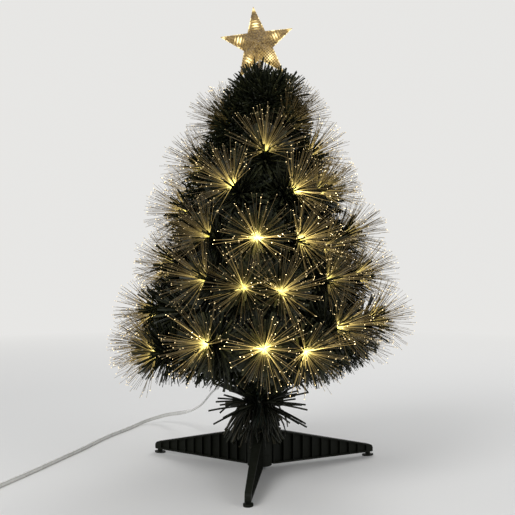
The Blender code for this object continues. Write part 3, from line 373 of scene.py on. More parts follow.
# %% [markdown]
# The cable is a ring of points, swept along that line. The ring has the outline of two round
# cores side by side with a shallow groove between them. A UV map runs across and along the
# cable, so the material can draw the cores where they are.
# %% Flat lead
FLAT_UNTIL = 0.24
ON_EDGE_FROM = 0.36
FLOOR_CLEARANCE = 0.0001
CABLE_RING_POINTS = 16
GROOVE_DEPTH = 0.22
GROOVE_HALF_WIDTH = 0.16
CORE_ROUNDING_ACROSS = 0.8
CORE_ROUNDING_THROUGH = 0.45
UV_METRES = 0.1
BACKWARD = Vector((0.0, 1.0, 0.0))


def cable_ring():
    """The outline as (across, through) shares of the half width and the half thickness."""
    ring = []
    for i in range(CABLE_RING_POINTS):
        angle = 2 * math.pi * i / CABLE_RING_POINTS
        across, through = math.cos(angle), math.sin(angle)
        across = math.copysign(abs(across) ** CORE_ROUNDING_ACROSS, across)
        groove = 1.0 - GROOVE_DEPTH * math.exp(-((across / GROOVE_HALF_WIDTH) ** 2))
        height = min(1.0, abs(through) ** CORE_ROUNDING_THROUGH)
        ring.append((across, math.copysign(height, through) * groove))
    return ring


def cable_side(way, travelled):
    """The direction of the cable's width: level at first, upright after a slow quarter turn."""
    narrow_to_front = (BACKWARD - way * way.dot(BACKWARD)).normalized()
    on_edge = (UP - way * way.dot(UP)).normalized()
    share = eased((travelled - FLAT_UNTIL) / (ON_EDGE_FROM - FLAT_UNTIL))
    return narrow_to_front.lerp(on_edge, share).normalized()


def swept_cable(points):
    ring = cable_ring()
    count = len(ring)
    travelled = distances_along(points)
    vertices = []
    for i, point in enumerate(points):
        way = (points[min(i + 1, len(points) - 1)] - points[max(i - 1, 0)]).normalized()
        wide = cable_side(way, travelled[i])
        deep = way.cross(wide)
        for across, through in ring:
            corner = point + wide * across * CORD_WIDTH / 2 + deep * through * CORD_THICKNESS / 2
            vertices.append(corner + UP * FLOOR_CLEARANCE)
    ends = [tuple(range(count))[::-1], tuple(range(len(vertices) - count, len(vertices)))]
    mesh = mesh_from("flat_lead", vertices, tube_faces(len(points), count) + ends)
    layer = mesh.uv_layers.new(name="cable")
    for face in range(count * (len(points) - 1)):
        i, k = divmod(face, count)
        corners = ((k, i), (k + 1, i), (k + 1, i + 1), (k, i + 1))
        for loop, (across, along) in zip(mesh.polygons[face].loop_indices, corners):
            layer.data[loop].uv = (across / count, travelled[along] / UV_METRES)
    fix = bmesh.new()
    fix.from_mesh(mesh)
    bmesh.ops.recalc_face_normals(fix, faces=fix.faces[:])
    fix.to_mesh(mesh)
    fix.free()
    smooth_up_to(mesh, 60)
    return mesh


flat_lead = linked("flat_lead", swept_cable(lead_points))
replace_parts(flat_lead, "lead", "lead_coil")
on_tree("lead_jacket", flat_lead)
tuple(lead_points[0])
print(f"{len(flat_lead.data.polygons)} faces in the lead")

# %% [markdown]
# Three effects serve several materials, so each is a node group. `mottle` mixes two colours
# with soft noise, `moulded_grain` gives the height of fine spark-eroded grain, and
# `settled_dust` lightens what faces upwards. They read Object coordinates, which in these
# pieces are real metres.
# %% Shader groups
COLOUR, NUMBER, WHOLE = "NodeSocketColor", "NodeSocketFloat", "NodeSocketInt"
OBJECT, SHAPE = "NodeSocketObject", "NodeSocketGeometry"


def new_tree(name, inputs, outputs, kind="ShaderNodeTree"):
    """A node group with named sockets, as (tree, node of its inputs, node of its outputs)."""
    tree = bpy.data.node_groups.new(name, kind)
    for key, socket_type, value in inputs:
        socket = tree.interface.new_socket(key, in_out="INPUT", socket_type=socket_type)
        if value is not None:
            socket.default_value = value
    for key, socket_type in outputs:
        tree.interface.new_socket(key, in_out="OUTPUT", socket_type=socket_type)
    return tree, put(tree, "NodeGroupInput"), put(tree, "NodeGroupOutput")


def noise_in(tree, scale, detail, place=None):
    """Soft noise on a piece; its scale counts the waves in a metre."""
    if place is None:
        place = put(tree, "ShaderNodeTexCoord")["Object"]
    return put(tree, "ShaderNodeTexNoise", {"Vector": place, "Scale": scale, "Detail": detail})[0]


def blended(share, first, second):
    """The first colour where the share is 0, the second where it is 1."""
    return put(share.tree, "ShaderNodeMix", {0: share, 6: first, 7: second}, data_type="RGBA")[2]


mottle, source, result = new_tree(
    "mottle",
    (("Colour A", COLOUR, (0, 0, 0, 1)), ("Colour B", COLOUR, (1, 1, 1, 1)), ("Scale", NUMBER, 40.0)),
    (("Colour", COLOUR), ("Value", NUMBER)),
)
spread = risen(noise_in(mottle, source["Scale"], 4.0), 0.3, 0.7)
result["Colour"] = blended(spread, source["Colour A"], source["Colour B"])
result["Value"] = spread

moulded_grain, source, result = new_tree(
    "moulded_grain", (("Scale", NUMBER, 1500.0),), (("Height", NUMBER),)
)
fine = noise_in(moulded_grain, source["Scale"], 2.0)
broad = noise_in(moulded_grain, source["Scale"] * 0.22, 1.0)
result["Height"] = broad * 0.5 + fine

settled_dust, source, result = new_tree(
    "settled_dust",
    (
        ("Colour", COLOUR, (0, 0, 0, 1)),
        ("Dust Colour", COLOUR, (0.3, 0.3, 0.28, 1)),
        ("Amount", NUMBER, 0.2),
    ),
    (("Colour", COLOUR), ("Mask", NUMBER)),
)
upward = risen(axes_of(put(settled_dust, "ShaderNodeNewGeometry")["Normal"])["Z"], 0.35, 1.0)
specks = risen(noise_in(settled_dust, 260.0, 5.0), 0.42, 0.68)
mask = math_of("MULTIPLY", upward * specks, source["Amount"], clamp=True)
result["Colour"] = blended(mask, source["Colour"], source["Dust Colour"])
result["Mask"] = mask
print(f"{len(bpy.data.node_groups)} shader groups")

# %% [markdown]
# Small helpers lay these groups into a finish. `mottled` gives a shader its two close shades,
# `grained` its fine grain, and `ramp_of` a colour that runs through some stops. Most hard
# pieces here are moulded plastic, so `plastic_finish` makes that whole finish.
# %% Material helpers


def group_in(tree, group, **inputs):
    named = {key.replace("_", " "): value for key, value in inputs.items()}
    return put(tree, "ShaderNodeGroup", named, node_tree=group)


def shades_in(tree, dark, light, scale):
    return group_in(tree, mottle, Colour_A=(*dark, 1), Colour_B=(*light, 1), Scale=scale)


def mottled(shader, dark, light, scale):
    shades = shades_in(shader.tree, dark, light, scale)
    shader["Base Color"] = shades["Colour"]
    return shades


def bumped(shader, height, distance, strength=1.0):
    inputs = {"Height": height, "Distance": distance, "Strength": strength}
    shader["Normal"] = put(shader.tree, "ShaderNodeBump", inputs)[0]


def grained(shader, scale, depth):
    bumped(shader, group_in(shader.tree, moulded_grain, Scale=scale)["Height"], depth)


def ramp_of(value, *stops):
    """The colour at a value; the stops are (value, colour), from the lowest to the highest."""
    ramp = put(value.tree, "ShaderNodeValToRGB", {0: value})
    elements = ramp.node.color_ramp.elements
    for element, (spot, colour) in zip((elements[0], elements[1]), (stops[0], stops[-1])):
        element.position = spot
        element.color = (*colour, 1)
    for spot, colour in stops[1:-1]:
        elements.new(spot).color = (*colour, 1)
    return ramp[0]


def scaled(vector, amount, tree):
    return put(tree, "ShaderNodeVectorMath", {0: vector, "Scale": amount}, operation="SCALE")[0]


def attribute(tree, name):
    return put(tree, "ShaderNodeAttribute", attribute_name=name)["Fac"]


def plastic_finish(name, dark, light, roughness, grain=1500.0, depth=0.00006, dust=0.25, **levels):
    """A moulded plastic: two close shades, fine grain, uneven gloss and a little dust on top."""
    finish, shader = finish_named(name, **levels)
    shades = shades_in(shader.tree, dark, light, 55.0)
    dusty = group_in(shader.tree, settled_dust, Colour=shades["Colour"], Amount=dust)
    shader["Base Color"] = dusty["Colour"]
    gloss = ranged(shades["Value"], roughness - 0.06, roughness + 0.08)
    shader["Roughness"] = gloss + dusty["Mask"] * 0.6
    grained(shader, grain, depth)
    return finish


# %% [markdown]
# The hard pieces keep their CAD shapes. The stand is dark green injection-moulded plastic
# with a satin grain, the pole is steel tube under the same green in paint, and the adaptor is
# pale plastic. Only their material slots change.
# %% Finishes of the CAD pieces
stand_plastic = plastic_finish(
    "stand_plastic",
    (0.0036, 0.0046, 0.0022),
    (0.0058, 0.0070, 0.0034),
    0.58,
    dust=0.02,
    Specular_IOR_Level=0.14,
)
pole_paint = plastic_finish(
    "pole_paint",
    (0.006, 0.012, 0.006),
    (0.009, 0.018, 0.009),
    0.30,
    grain=420.0,
    depth=0.00003,
    Coat_Weight=0.3,
)
adaptor_plastic = plastic_finish("adaptor_plastic", (0.74, 0.74, 0.71), (0.80, 0.80, 0.77), 0.38, dust=0.1)
grommet_plastic = plastic_finish("grommet_plastic", (0.66, 0.66, 0.64), (0.72, 0.72, 0.70), 0.30, dust=0.1)

pin_metal, shader = finish_named("pin_metal", Metallic=1.0)
shades = mottled(shader, (0.56, 0.55, 0.52), (0.66, 0.65, 0.61), 300.0)
shader["Roughness"] = ranged(shades["Value"], 0.18, 0.34)
grained(shader, 2600.0, 0.00002)


def give_finish(finish, *nodes):
    for node in nodes:
        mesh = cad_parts[node].data
        mesh.materials.clear()
        mesh.materials.append(finish)
    print(f"{finish.name}: {len(nodes)} CAD pieces")


STAND_PIECES = ("stand_hub_leg", "stand_collar", "left_leg", "right_leg")
FOOT_PIECES = ("front_foot", "left_foot", "right_foot")
give_finish(stand_plastic, *STAND_PIECES, *FOOT_PIECES)
give_finish(pole_paint, "pole")
give_finish(grommet_plastic, "wiring_harness", "cable_grommet", "coil_tie")
give_finish(adaptor_plastic, "adaptor_body")
give_finish(pin_metal, "adaptor_pins")

# %% [markdown]
# The lead's jacket is clear PVC over two bright tinned cores, so it looks pale, with two
# slightly darker lines where the cores run and a glossy skin.
# %% Finish of the lead
CORE_OFF_MIDDLE = 0.55
CORE_COLOUR = (0.47, 0.45, 0.41, 1)
lead_jacket, shader = finish_named("lead_jacket", Coat_Weight=0.35, Coat_Roughness=0.12)
around = axes_of(put(shader.tree, "ShaderNodeUVMap", uv_map="cable")[0])
across = math_of("ABSOLUTE", math_of("COSINE", around["X"] * (2 * math.pi)))
core = ranged(math_of("ABSOLUTE", across - CORE_OFF_MIDDLE), 1.0, 0.0, 0.06, 0.24)
strand = core * ranged(math_of("SINE", around["Y"] * 90.0), 0.7, 1.0, -1.0, 1.0)
shades = shades_in(shader.tree, (0.60, 0.60, 0.57), (0.68, 0.68, 0.65), 35.0)
shader["Base Color"] = blended(strand, shades["Colour"], CORE_COLOUR)
shader["Roughness"] = ranged(shades["Value"], 0.22, 0.34)
bumped(shader, shades["Value"], 0.0001, 0.4)
flat_lead.data.materials.append(lead_jacket)
print(f"{len(shader.tree.nodes)} nodes in the lead's finish")

# %% [markdown]
# Branches, needles and fibres all start from the same table as the CAD model: for each whorl,
# the directions of its branches in degrees from the front, how steeply each one rises and,
# for the side and back branches, its reach as a share of the whorl's. Whoever unpacks the
# tree bends the last few millimetres of each wire, so that its lamp looks out to the side or
# down. END_BENDS has these bends, which leave the lamp's place as it is. Plain branches are
# added on the same collars, to close the crown from inside and at its flanks. FILLING gives
# how many there are, the direction of the first one in degrees from the front, and how far
# from the pole and how high they end.
# %% Where the branches are
POLE_TOP = 0.47
POLE_RADIUS = 0.008
LOWEST_REACH = 0.149
SLEEVE_LENGTH = 0.014
SLEEVE_RADIUS = 0.0025
COLLAR_MIDDLE = 0.00965
COLLAR_HEIGHT = 0.012
WHORL_HEIGHT_SHARES = (0.287, 0.451, 0.564, 0.694, 0.804, 0.909)
WHORL_REACH_SHARES = (1.0, 0.852, 0.718, 0.584, 0.436, 0.282)
WHORL_BRANCHES = (
    ((-66, 12.6), (-26, 20.2), (2, 18.7), (22, 16.9), (41, 27.0), (112, 16.0), (168, 18.0), (222, 16.0)),
    ((-33, 24.5), (-9, 20.2), (12, 18.0), (43, 24.0), (108, 21.0), (180, 22.0), (250, 21.0)),
    ((-38, 29.5), (-2, 28.4), (28, 27.3), (52, 22.4), (118, 26.0), (182, 27.0), (246, 26.0)),
    ((-24, 37.6), (30, 34.6), (100, 34.0), (172, 35.0), (250, 34.0)),
    ((6, 45.0), (126, 42.0), (246, 42.0)),
    ((-80, 55.0), (60, 55.0), (170, 52.0)),
)
WHORLS = range(len(WHORL_BRANCHES))
LAMP_LEVELS = (
    (0.70, 0.95, 0.95, 1.10, 0.64, 0.45, 0.6, 0.45),
    (0.50, 0.54, 0.50, 0.55, 0.45, 0.6, 0.45),
    (0.32, 1.20, 0.75, 0.50, 0.45, 0.6, 0.45),
    (0.85, 0.85, 0.40, 0.6, 0.45),
    (0.50, 0.40, 0.45),
    (0.10, 0.14, 0.30),
)
DIM_BELOW_LEVEL = 0.48
DIM_FULLNESS = 1.25
DIM_SPREAD = math.radians(62)
SPREAD = math.radians(74)
SIDE_BRANCHES = (
    ((-90, 14.8, 1.0), (78, 27.2, 1.02), (140, 18.3, 0.98), (195, 18.3, 0.98), (250, 22.7, 0.98)),
    ((-88, 2.6, 1.12), (84, 24.8, 1.03), (144, 19.0, 0.99), (214, 19.0, 0.99)),
    ((-88, 9.5, 1.09), (84, 27.9, 1.09), (150, 26.0, 0.99), (214, 26.0, 0.99)),
    ((-90, 17.3, 1.14), (64, 36.2, 0.99), (136, 36.2, 0.99), (211, 36.2, 0.99)),
    ((-90, 29.9, 1.17), (86, 42.8, 1.02), (166, 44.9, 0.98), (206, 44.9, 0.98)),
    ((112, 60.8, 1.0), (228, 60.8, 1.0)),
)
SIDE_LAMP_LEVEL = 0.46
END_BENDS = (
    ((-14, 20), (-14, 15), (0, 18), (13, 25), (24, 17), (0, 8), (0, 8), (0, 8)),
    ((-32, 6), (-7, 4), (8, 0), (19, 12), (0, 8), (0, 8), (0, 8)),
    ((-24, 8), (0, 22), (22, 17), (22, 14), (0, 10), (0, 10), (0, 10)),
    ((-28, 4), (26, 15), (0, 12), (0, 12), (0, 12)),
    ((0, -4), (0, 15), (0, 15)),
    ((0, 25), (6, 17), (0, 15)),
)
SIDE_END_BEND = (0, 6)
FILLING = (
    ((10, 12, 0.112, 0.174), (1, 84, 0.126, 0.182), (1, -80, 0.134, 0.182)),
    ((8, 0, 0.104, 0.238), (1, 86, 0.118, 0.224), (1, -84, 0.126, 0.232), (1, -62, 0.118, 0.222)),
    ((8, 14, 0.088, 0.292), (1, 86, 0.104, 0.300), (1, -85, 0.108, 0.276), (1, 68, 0.098, 0.276)),
    ((7, 0, 0.070, 0.352), (1, 86, 0.084, 0.350), (1, -86, 0.094, 0.326), (1, 70, 0.080, 0.330)),
    ((6, 22, 0.050, 0.404), (1, 84, 0.066, 0.408), (1, -88, 0.074, 0.388), (1, -70, 0.060, 0.418)),
    (
        (1, -86, 0.046, 0.454), (1, 86, 0.044, 0.448), (5, 0, 0.028, 0.458), (5, 10, 0.012, 0.516),
        (1, 30, 0.030, 0.520), (1, 81, 0.031, 0.524), (1, 132, 0.030, 0.520), (1, 184, 0.020, 0.516),
        (1, 235, 0.024, 0.500), (1, 284, 0.024, 0.500), (1, 340, 0.016, 0.527), (2, 85, 0.038, 0.484),
    ),
)


def ending(level, rise, bend):
    """The way in which a branch ends, when its wire is bent sideways and down by some degrees."""
    azimuth = math.degrees(math.atan2(level.y, level.x)) + bend[0]
    slope = math.radians(rise - bend[1])
    return level_direction(azimuth) * math.cos(slope) + UP * math.sin(slope)


def level_and_root(whorl, from_front):
    level = level_direction(from_front - 90)
    return level, level * COLLAR_MIDDLE + UP * POLE_TOP * WHORL_HEIGHT_SHARES[whorl]


def branch_with_rise(whorl, bend, from_front, rise, share=1.0):
    """A branch of the CAD model as (root, place of its sleeve's mouth, way it looks)."""
    level, root = level_and_root(whorl, from_front)
    out = LOWEST_REACH * WHORL_REACH_SHARES[whorl] * share - COLLAR_MIDDLE
    return root, root + level * out + UP * out * math.tan(math.radians(rise)), ending(level, rise, bend)


def branch_to_place(whorl, from_front, radius, height):
    """A straight branch whose end is at a given distance from the pole and height."""
    level, root = level_and_root(whorl, from_front)
    mouth = level * radius + UP * height
    return root, mouth, (mouth - root).normalized()


def lit_branches(whorl):
    """The branches with a lamp, each with its lamp's level."""
    rows = list(zip(END_BENDS[whorl], WHORL_BRANCHES[whorl], LAMP_LEVELS[whorl]))
    rows += [(SIDE_END_BEND, entry, SIDE_LAMP_LEVEL) for entry in SIDE_BRANCHES[whorl]]
    return [(branch_with_rise(whorl, bend, *entry), level) for bend, entry, level in rows]


def plain_branches(whorl):
    """The branches with needles only; those of one row stand evenly round the pole."""
    return [
        branch_to_place(whorl, first + 360 * i / count, radius, height)
        for count, first, radius, height in FILLING[whorl]
        for i in range(count)
    ]


def all_branches(whorl):
    return [branch for branch, level in lit_branches(whorl)] + plain_branches(whorl)


in_cad = sum(len(lit_branches(whorl)) for whorl in WHORLS)
print(f"{sum(len(all_branches(whorl)) for whorl in WHORLS)} branches, {in_cad} of them in the CAD")

# %% [markdown]
# A needle is a strip of PVC film, slit from a sheet and twisted into the branch wire: flat,
# blunt at its end and faintly creased. The template is one such strip along +Z with a few
# faces, because it is repeated by the thousand. It carries a point attribute `strand` that
# runs from 0 at its root to 1 at its tip, which the material reads.
# %% Needle template
NEEDLE_LENGTH = 0.046
NEEDLE_WIDTH = 0.0024
NEEDLE_CREASE = 0.00045
NEEDLE_BEND = 0.0028
NEEDLE_ROOT_WIDTH_SHARE = 0.72
STRAND_RINGS = 4
STRAND_ENDS = [(2, 1, 0), (3 * STRAND_RINGS - 3, 3 * STRAND_RINGS - 2, 3 * STRAND_RINGS - 1)]
STRAND_FACES = tube_faces(STRAND_RINGS, 3) + STRAND_ENDS


def with_values(mesh, **lists):
    """Stores numbers on a mesh's points, each list under its own name."""
    for name, values in lists.items():
        mesh.attributes.new(name, "FLOAT", "POINT").data.foreach_set("value", values)
    return mesh


def strand_rings(section, length, bend, root_width_share=1.0):
    """The points of a three-sided strand along +Z, and how far along it each one is."""
    vertices, along = [], []
    for i in range(STRAND_RINGS):
        t = i / (STRAND_RINGS - 1)
        width = root_width_share + (1 - root_width_share) * min(1.0, 3 * t)
        for x, y in section:
            vertices.append((x * width, y + bend * t * t, t * length))
            along.append(t)
    return vertices, along


section = ((-NEEDLE_WIDTH / 2, 0.0), (NEEDLE_WIDTH / 2, 0.0), (0.0, NEEDLE_CREASE))
vertices, along = strand_rings(section, NEEDLE_LENGTH, NEEDLE_BEND, NEEDLE_ROOT_WIDTH_SHARE)
needle = with_values(mesh_from("needle_template", vertices, STRAND_FACES), strand=along)
needle_template = linked("needle_template", needle)
print(f"{len(needle_template.data.polygons)} faces in a needle")

# %% [markdown]
# The needle film is a blackish olive green and half glossy. Each strip has a shade of its
# own, kept in the attribute `shade`: most are nearly black, a few carry a painted highlight in
# olive brown. Each strip is also painted lighter towards its tip, a painted highlight. The
# strips round the foot of the trunk are of the same film, with a browner painted highlight.
# %% Needle film


def film_with_painted_highlights(name, dark, middle, light):
    finish, shader = finish_named(name, Coat_Weight=0.04, Coat_Roughness=0.3, Specular_IOR_Level=0.28)
    tree = shader.tree
    # Random tone for each strip; the light end of this ramp is a painted olive-brown highlight of warm
    # light.
    shade = ramp_of(attribute(tree, "shade"), (0.0, dark), (0.62, middle), (1.0, light))
    # Painted highlight: each strip gets lighter towards its tip.
    shade_with_painted_tip_light = scaled(shade, ranged(attribute(tree, "strand"), 0.50, 1.60), tree)
    shades = shades_in(tree, (0.0, 0.0, 0.0), (0.003, 0.004, 0.002), 240.0)
    film = put(tree, "ShaderNodeVectorMath", {0: shade_with_painted_tip_light, 1: shades["Colour"]}, operation="ADD")
    shader["Base Color"] = film[0]
    shader["Roughness"] = ranged(shades["Value"], 0.40, 0.54)
    grained(shader, 900.0, 0.00004)
    return finish


# The lightest shade of each film is a painted highlight, not the film's own colour.
needle_film = film_with_painted_highlights(
    "needle_film", (0.0038, 0.0050, 0.0023), (0.0104, 0.0127, 0.0052), (0.0340, 0.0345, 0.0142)
)
# The skirt film's lightest shade is a browner painted highlight of the warm light above.
skirt_film = film_with_painted_highlights(
    "skirt_film", (0.0030, 0.0040, 0.0019), (0.0100, 0.0113, 0.0058), (0.0340, 0.0300, 0.0170)
)
print("needle film and skirt film")

# %% [markdown]
# Needles repeat by the thousand round a wire, so a Geometry Nodes tree sets them. These
# helpers serve it and the trees for fibres, lamps and strips. `turned_by` turns a direction
# further in its own frame, and `copies_on` stands copies of a template on points.
# %% Helpers for growing


def growth_tree(name, *sizes):
    """A Geometry Nodes tree with a mesh in, a mesh out and named sizes."""
    ends = (("Geometry", SHAPE),)
    return new_tree(name, (("Geometry", SHAPE, None), *sizes), ends, "GeometryNodeTree")


def random_between(tree, low, high, seed, name=None):
    """A random number for each point; points with one name have one number."""
    inputs = {2: low, 3: high, "Seed": seed}
    if name is not None:
        inputs["ID"] = name
    return put(tree, "FunctionNodeRandomValue", inputs, data_type="FLOAT")[1]


def named_value(tree, name, kind="FLOAT"):
    return put(tree, "GeometryNodeInputNamedAttribute", {"Name": name}, data_type=kind)[0]


def stored(geometry, name, value, domain):
    inputs = {"Geometry": geometry, "Name": name, "Value": value}
    settings = {"data_type": "FLOAT", "domain": domain}
    return put(geometry.tree, "GeometryNodeStoreNamedAttribute", inputs, **settings)[0]


def upright_along(vector):
    return put(vector.tree, "FunctionNodeAlignRotationToVector", {"Vector": vector}, axis="Z")[0]


def turned_by(rotation, x=0.0, z=0.0):
    """Turns a rotation further in its own frame, about its X or its Z axis."""
    euler = put(rotation.tree, "ShaderNodeCombineXYZ", {"X": x, "Z": z})
    step = put(rotation.tree, "FunctionNodeEulerToRotation", {0: euler[0]})
    inputs = {"Rotation": rotation, "Rotate By": step[0]}
    return put(rotation.tree, "FunctionNodeRotateRotation", inputs, rotation_space="LOCAL")[0]


def copies_on(points, template, way, length_share=1.0):
    """One copy of the template on each point, turned its way and stretched along itself."""
    shape = put(points.tree, "GeometryNodeObjectInfo", {"Object": template})["Geometry"]
    scale = put(points.tree, "ShaderNodeCombineXYZ", {"X": 1.0, "Y": 1.0, "Z": length_share})[0]
    inputs = {"Points": points, "Instance": shape, "Rotation": way, "Scale": scale}
    return put(points.tree, "GeometryNodeInstanceOnPoints", inputs)[0]


def curves_of(source):
    return put(source.tree, "GeometryNodeMeshToCurve", {"Mesh": source["Geometry"]})[0]


def tubed(curve, outline):
    inputs = {"Curve": curve, "Profile Curve": outline, "Fill Caps": True}
    return put(curve.tree, "GeometryNodeCurveToMesh", inputs)[0]


print("helpers for trees that grow")

# %% [markdown]
# Nothing may grow into the star, so `outside_star` keeps the strands out of its room.
# `finished` closes a tree with real geometry in one material. `grown` runs a tree on a mesh
# and keeps the result as a plain mesh, because a fixed mesh is what the library takes.
# %% Growing a piece
STAR_ROOM_DEPTH = 0.0125
STAR_ROOM_WIDTH = 0.038
STAR_ROOM_BOTTOM = 0.538


def outside_star(points, way, length, size):
    """Drops the points whose strand would end inside the room that the star takes."""
    tree = points.tree
    stretch = put(tree, "ShaderNodeCombineXYZ", {"Z": size * length})
    reach = put(tree, "FunctionNodeRotateVector", {"Vector": stretch[0], "Rotation": way})
    place = put(tree, "GeometryNodeInputPosition")
    tip = axes_of(put(tree, "ShaderNodeVectorMath", {0: place[0], 1: reach[0]}, operation="ADD")[0])
    deep = math_of("LESS_THAN", math_of("ABSOLUTE", tip["Y"]), STAR_ROOM_DEPTH)
    wide = math_of("LESS_THAN", math_of("ABSOLUTE", tip["X"]), STAR_ROOM_WIDTH)
    high = math_of("GREATER_THAN", tip["Z"], STAR_ROOM_BOTTOM)
    inputs = {"Geometry": points, "Selection": deep * wide * high}
    return put(tree, "GeometryNodeDeleteGeometry", inputs, domain="POINT")[0]


def finished(geometry, finish, result):
    """Ends a tree: real geometry, one material, flat faces as they are."""
    real = put(geometry.tree, "GeometryNodeRealizeInstances", {0: geometry})
    painted = put(geometry.tree, "GeometryNodeSetMaterial", {"Geometry": real[0], "Material": finish})
    result[0] = painted[0]


def grown(name, mesh, tree, **sizes):
    """Runs a node tree on a mesh and keeps the result as a plain mesh."""
    obj = linked(name, mesh)
    modifier = obj.modifiers.new("grow", "NODES")
    modifier.node_group = tree
    for item in tree.interface.items_tree:
        if item.in_out == "INPUT" and item.name in sizes:
            modifier[item.identifier] = sizes[item.name]
    graph = bpy.context.evaluated_depsgraph_get()
    made = bpy.data.meshes.new_from_object(obj.evaluated_get(graph))
    obj.modifiers.clear()
    obj.data = made
    made.name = name
    return obj


print("pieces can grow now")

# %% [markdown]
# The brush tree walks along the wires in small steps and stands one needle at each step.
# Each needle is turned by the golden angle from the one before it, which is how a twisted
# brush fills evenly, and it leans away from the wire by an angle that eases from the root of
# the branch to its tip.
# %% Node tree that grows a brush
GOLDEN_ANGLE = math.radians(137.508)
LONGEST_NEEDLE_SHARE = 1.05
brush, source, result = growth_tree(
    "needle_brush",
    ("Template", OBJECT, None),
    ("Spacing", NUMBER, 0.0008),
    ("Looseness", NUMBER, math.radians(9)),
    ("Least Length", NUMBER, 0.88),
    ("Seed", WHOLE, 1),
)
inputs = {"Curve": curves_of(source), "Length": source["Spacing"]}
steps = put(brush, "GeometryNodeCurveToPoints", inputs, mode="LENGTH")
turn = put(brush, "GeometryNodeInputIndex")[0] * GOLDEN_ANGLE
turn = turn + random_between(brush, -1.0, 1.0, source["Seed"]) * 0.5
lean = named_value(brush, "lean") + random_between(brush, -1.0, 1.0, 7) * source["Looseness"]
way = turned_by(upright_along(steps["Tangent"]), z=turn)
way = turned_by(way, x=lean * -1.0)
way = turned_by(way, z=random_between(brush, -0.6, 0.6, 11))
size = ranged(random_between(brush, 0.0, 1.0, 13), source["Least Length"], LONGEST_NEEDLE_SHARE)
free = outside_star(steps[0], way, NEEDLE_LENGTH, size)
needles = copies_on(free, source["Template"], way, size)
shaded = stored(needles, "shade", random_between(brush, 0.0, 1.0, 17), "INSTANCE")
finished(shaded, needle_film, result)


def wire_mesh(lines):
    """Edges along some lines; each line is (points, needle lean at each point in degrees)."""
    vertices, edges, leans, along = [], [], [], []
    for line, line_leans in lines:
        first = len(vertices)
        vertices += line
        edges += [(first + i, first + i + 1) for i in range(len(line) - 1)]
        along += [i / (len(line) - 1) for i in range(len(line))]
        leans += [math.radians(lean) for lean in line_leans]
    return with_values(mesh_from("wires", vertices, [], edges), lean=leans, along=along)


def tuft_line(start, end, first_lean, last_lean, steps=6):
    """A short line whose needles cover the part of a sphere between two leans evenly."""
    first, last = math.cos(math.radians(first_lean)), math.cos(math.radians(last_lean))
    shares = [i / steps for i in range(steps + 1)]
    leans = [math.degrees(math.acos(first + (last - first) * t)) for t in shares]
    return [start.lerp(end, t) for t in shares], leans


print(f"{len(brush.nodes)} nodes in the brush tree")

# %% [markdown]
# One brush for each whorl, so the whorls stay separate pieces as in the CAD. Along the stalk
# the needles stand thinly and lean forwards. At the end of a branch the strips are bound in
# together over a few millimetres, so there they are eleven times as dense and open into a
# round tuft, which reaches about 30 mm past the lamp and leaves its mouth free.
# %% Needles of the whorls
STALK_START_SHARE = 0.30
STALK_LEANS = (62, 70)
TUFT_START = 0.012
TUFT_END = 0.003
TUFT_LEANS = (100, 27)
TUFT_DENSITY = 11


def needle_lines(root, mouth, way):
    back = mouth - way * SLEEVE_LENGTH
    start = back - way * TUFT_START
    stalk = ([root.lerp(start, STALK_START_SHARE), start], STALK_LEANS)
    return [stalk] + [tuft_line(start, back + way * TUFT_END, *TUFT_LEANS)] * TUFT_DENSITY


for whorl in WHORLS:
    lines = wire_mesh([line for branch in all_branches(whorl) for line in needle_lines(*branch)])
    piece = grown(f"needles_{whorl + 1}", lines, brush, Template=needle_template, Seed=20 + whorl)
    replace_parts(piece, f"branch_tier_{whorl + 1}")
    on_tree("needle_film", piece)
    print(f"{piece.name}: {len(piece.data.polygons)} faces")

# %% [markdown]
# The wires are thin and mostly hidden, but they show where the crown opens from below. They
# are round tubes along the same lines, and each whorl's wires end under a taped collar on
# the pole, turned here with the ridges of the tape's turns.
# %% Wires and collars
TAPE_SHADES = ((0.005, 0.018, 0.008), (0.009, 0.030, 0.013))
branch_tape = plastic_finish("branch_tape", *TAPE_SHADES, 0.50, grain=700.0)
WIRE_RADIUS = 0.0011
COLLAR_RADIUS = 0.0108
COLLAR_RIDGE = 0.0005
COLLAR_STEPS = 8

tubes, source, result = growth_tree("wire_tubes", ("Radius", NUMBER, WIRE_RADIUS))
outline = put(tubes, "GeometryNodeCurvePrimitiveCircle", {"Resolution": 8, "Radius": source["Radius"]})
finished(tubed(curves_of(source), outline[0]), branch_tape, result)


def turned(name, profile, sides):
    """A closed solid of revolution about the z axis."""
    angles = [2 * math.pi * i / sides for i in range(sides)]
    vertices = [(r * math.cos(a), r * math.sin(a), height) for r, height in profile for a in angles]
    mesh = mesh_from(name, vertices, tube_faces(len(profile), sides, closed=True))
    smooth_up_to(mesh, 50)
    return mesh


def wire_line(root, mouth, way):
    """The wire from its collar to the middle of its sleeve, with its end bent the lamp's way."""
    points = [root, mouth - way * (SLEEVE_LENGTH + TUFT_START), mouth - way * SLEEVE_LENGTH / 2]
    return points, [0] * len(points)


def collar_profile(middle):
    """Four tape turns on the outside, from the bottom up, and the bore back down."""
    bore, low = POLE_RADIUS + SEAT_GAP, middle - COLLAR_HEIGHT / 2
    outside = []
    for k in range(COLLAR_STEPS + 1):
        radius = COLLAR_RADIUS - (0.0 if k % 2 else COLLAR_RIDGE)
        outside.append((radius, low + COLLAR_HEIGHT * k / COLLAR_STEPS))
    return [*outside, (bore, low + COLLAR_HEIGHT), (bore, low)]


for whorl in WHORLS:
    lines = wire_mesh([wire_line(*branch) for branch in all_branches(whorl)])
    bound_wires = grown(f"wires_{whorl + 1}", lines, tubes)
    profile = collar_profile(POLE_TOP * WHORL_HEIGHT_SHARES[whorl])
    collar = linked(f"collar_{whorl + 1}", turned("collar", profile, 32), branch_tape)
    on_tree("needle_film", bound_wires, collar)
print("wires and collars on the pole")

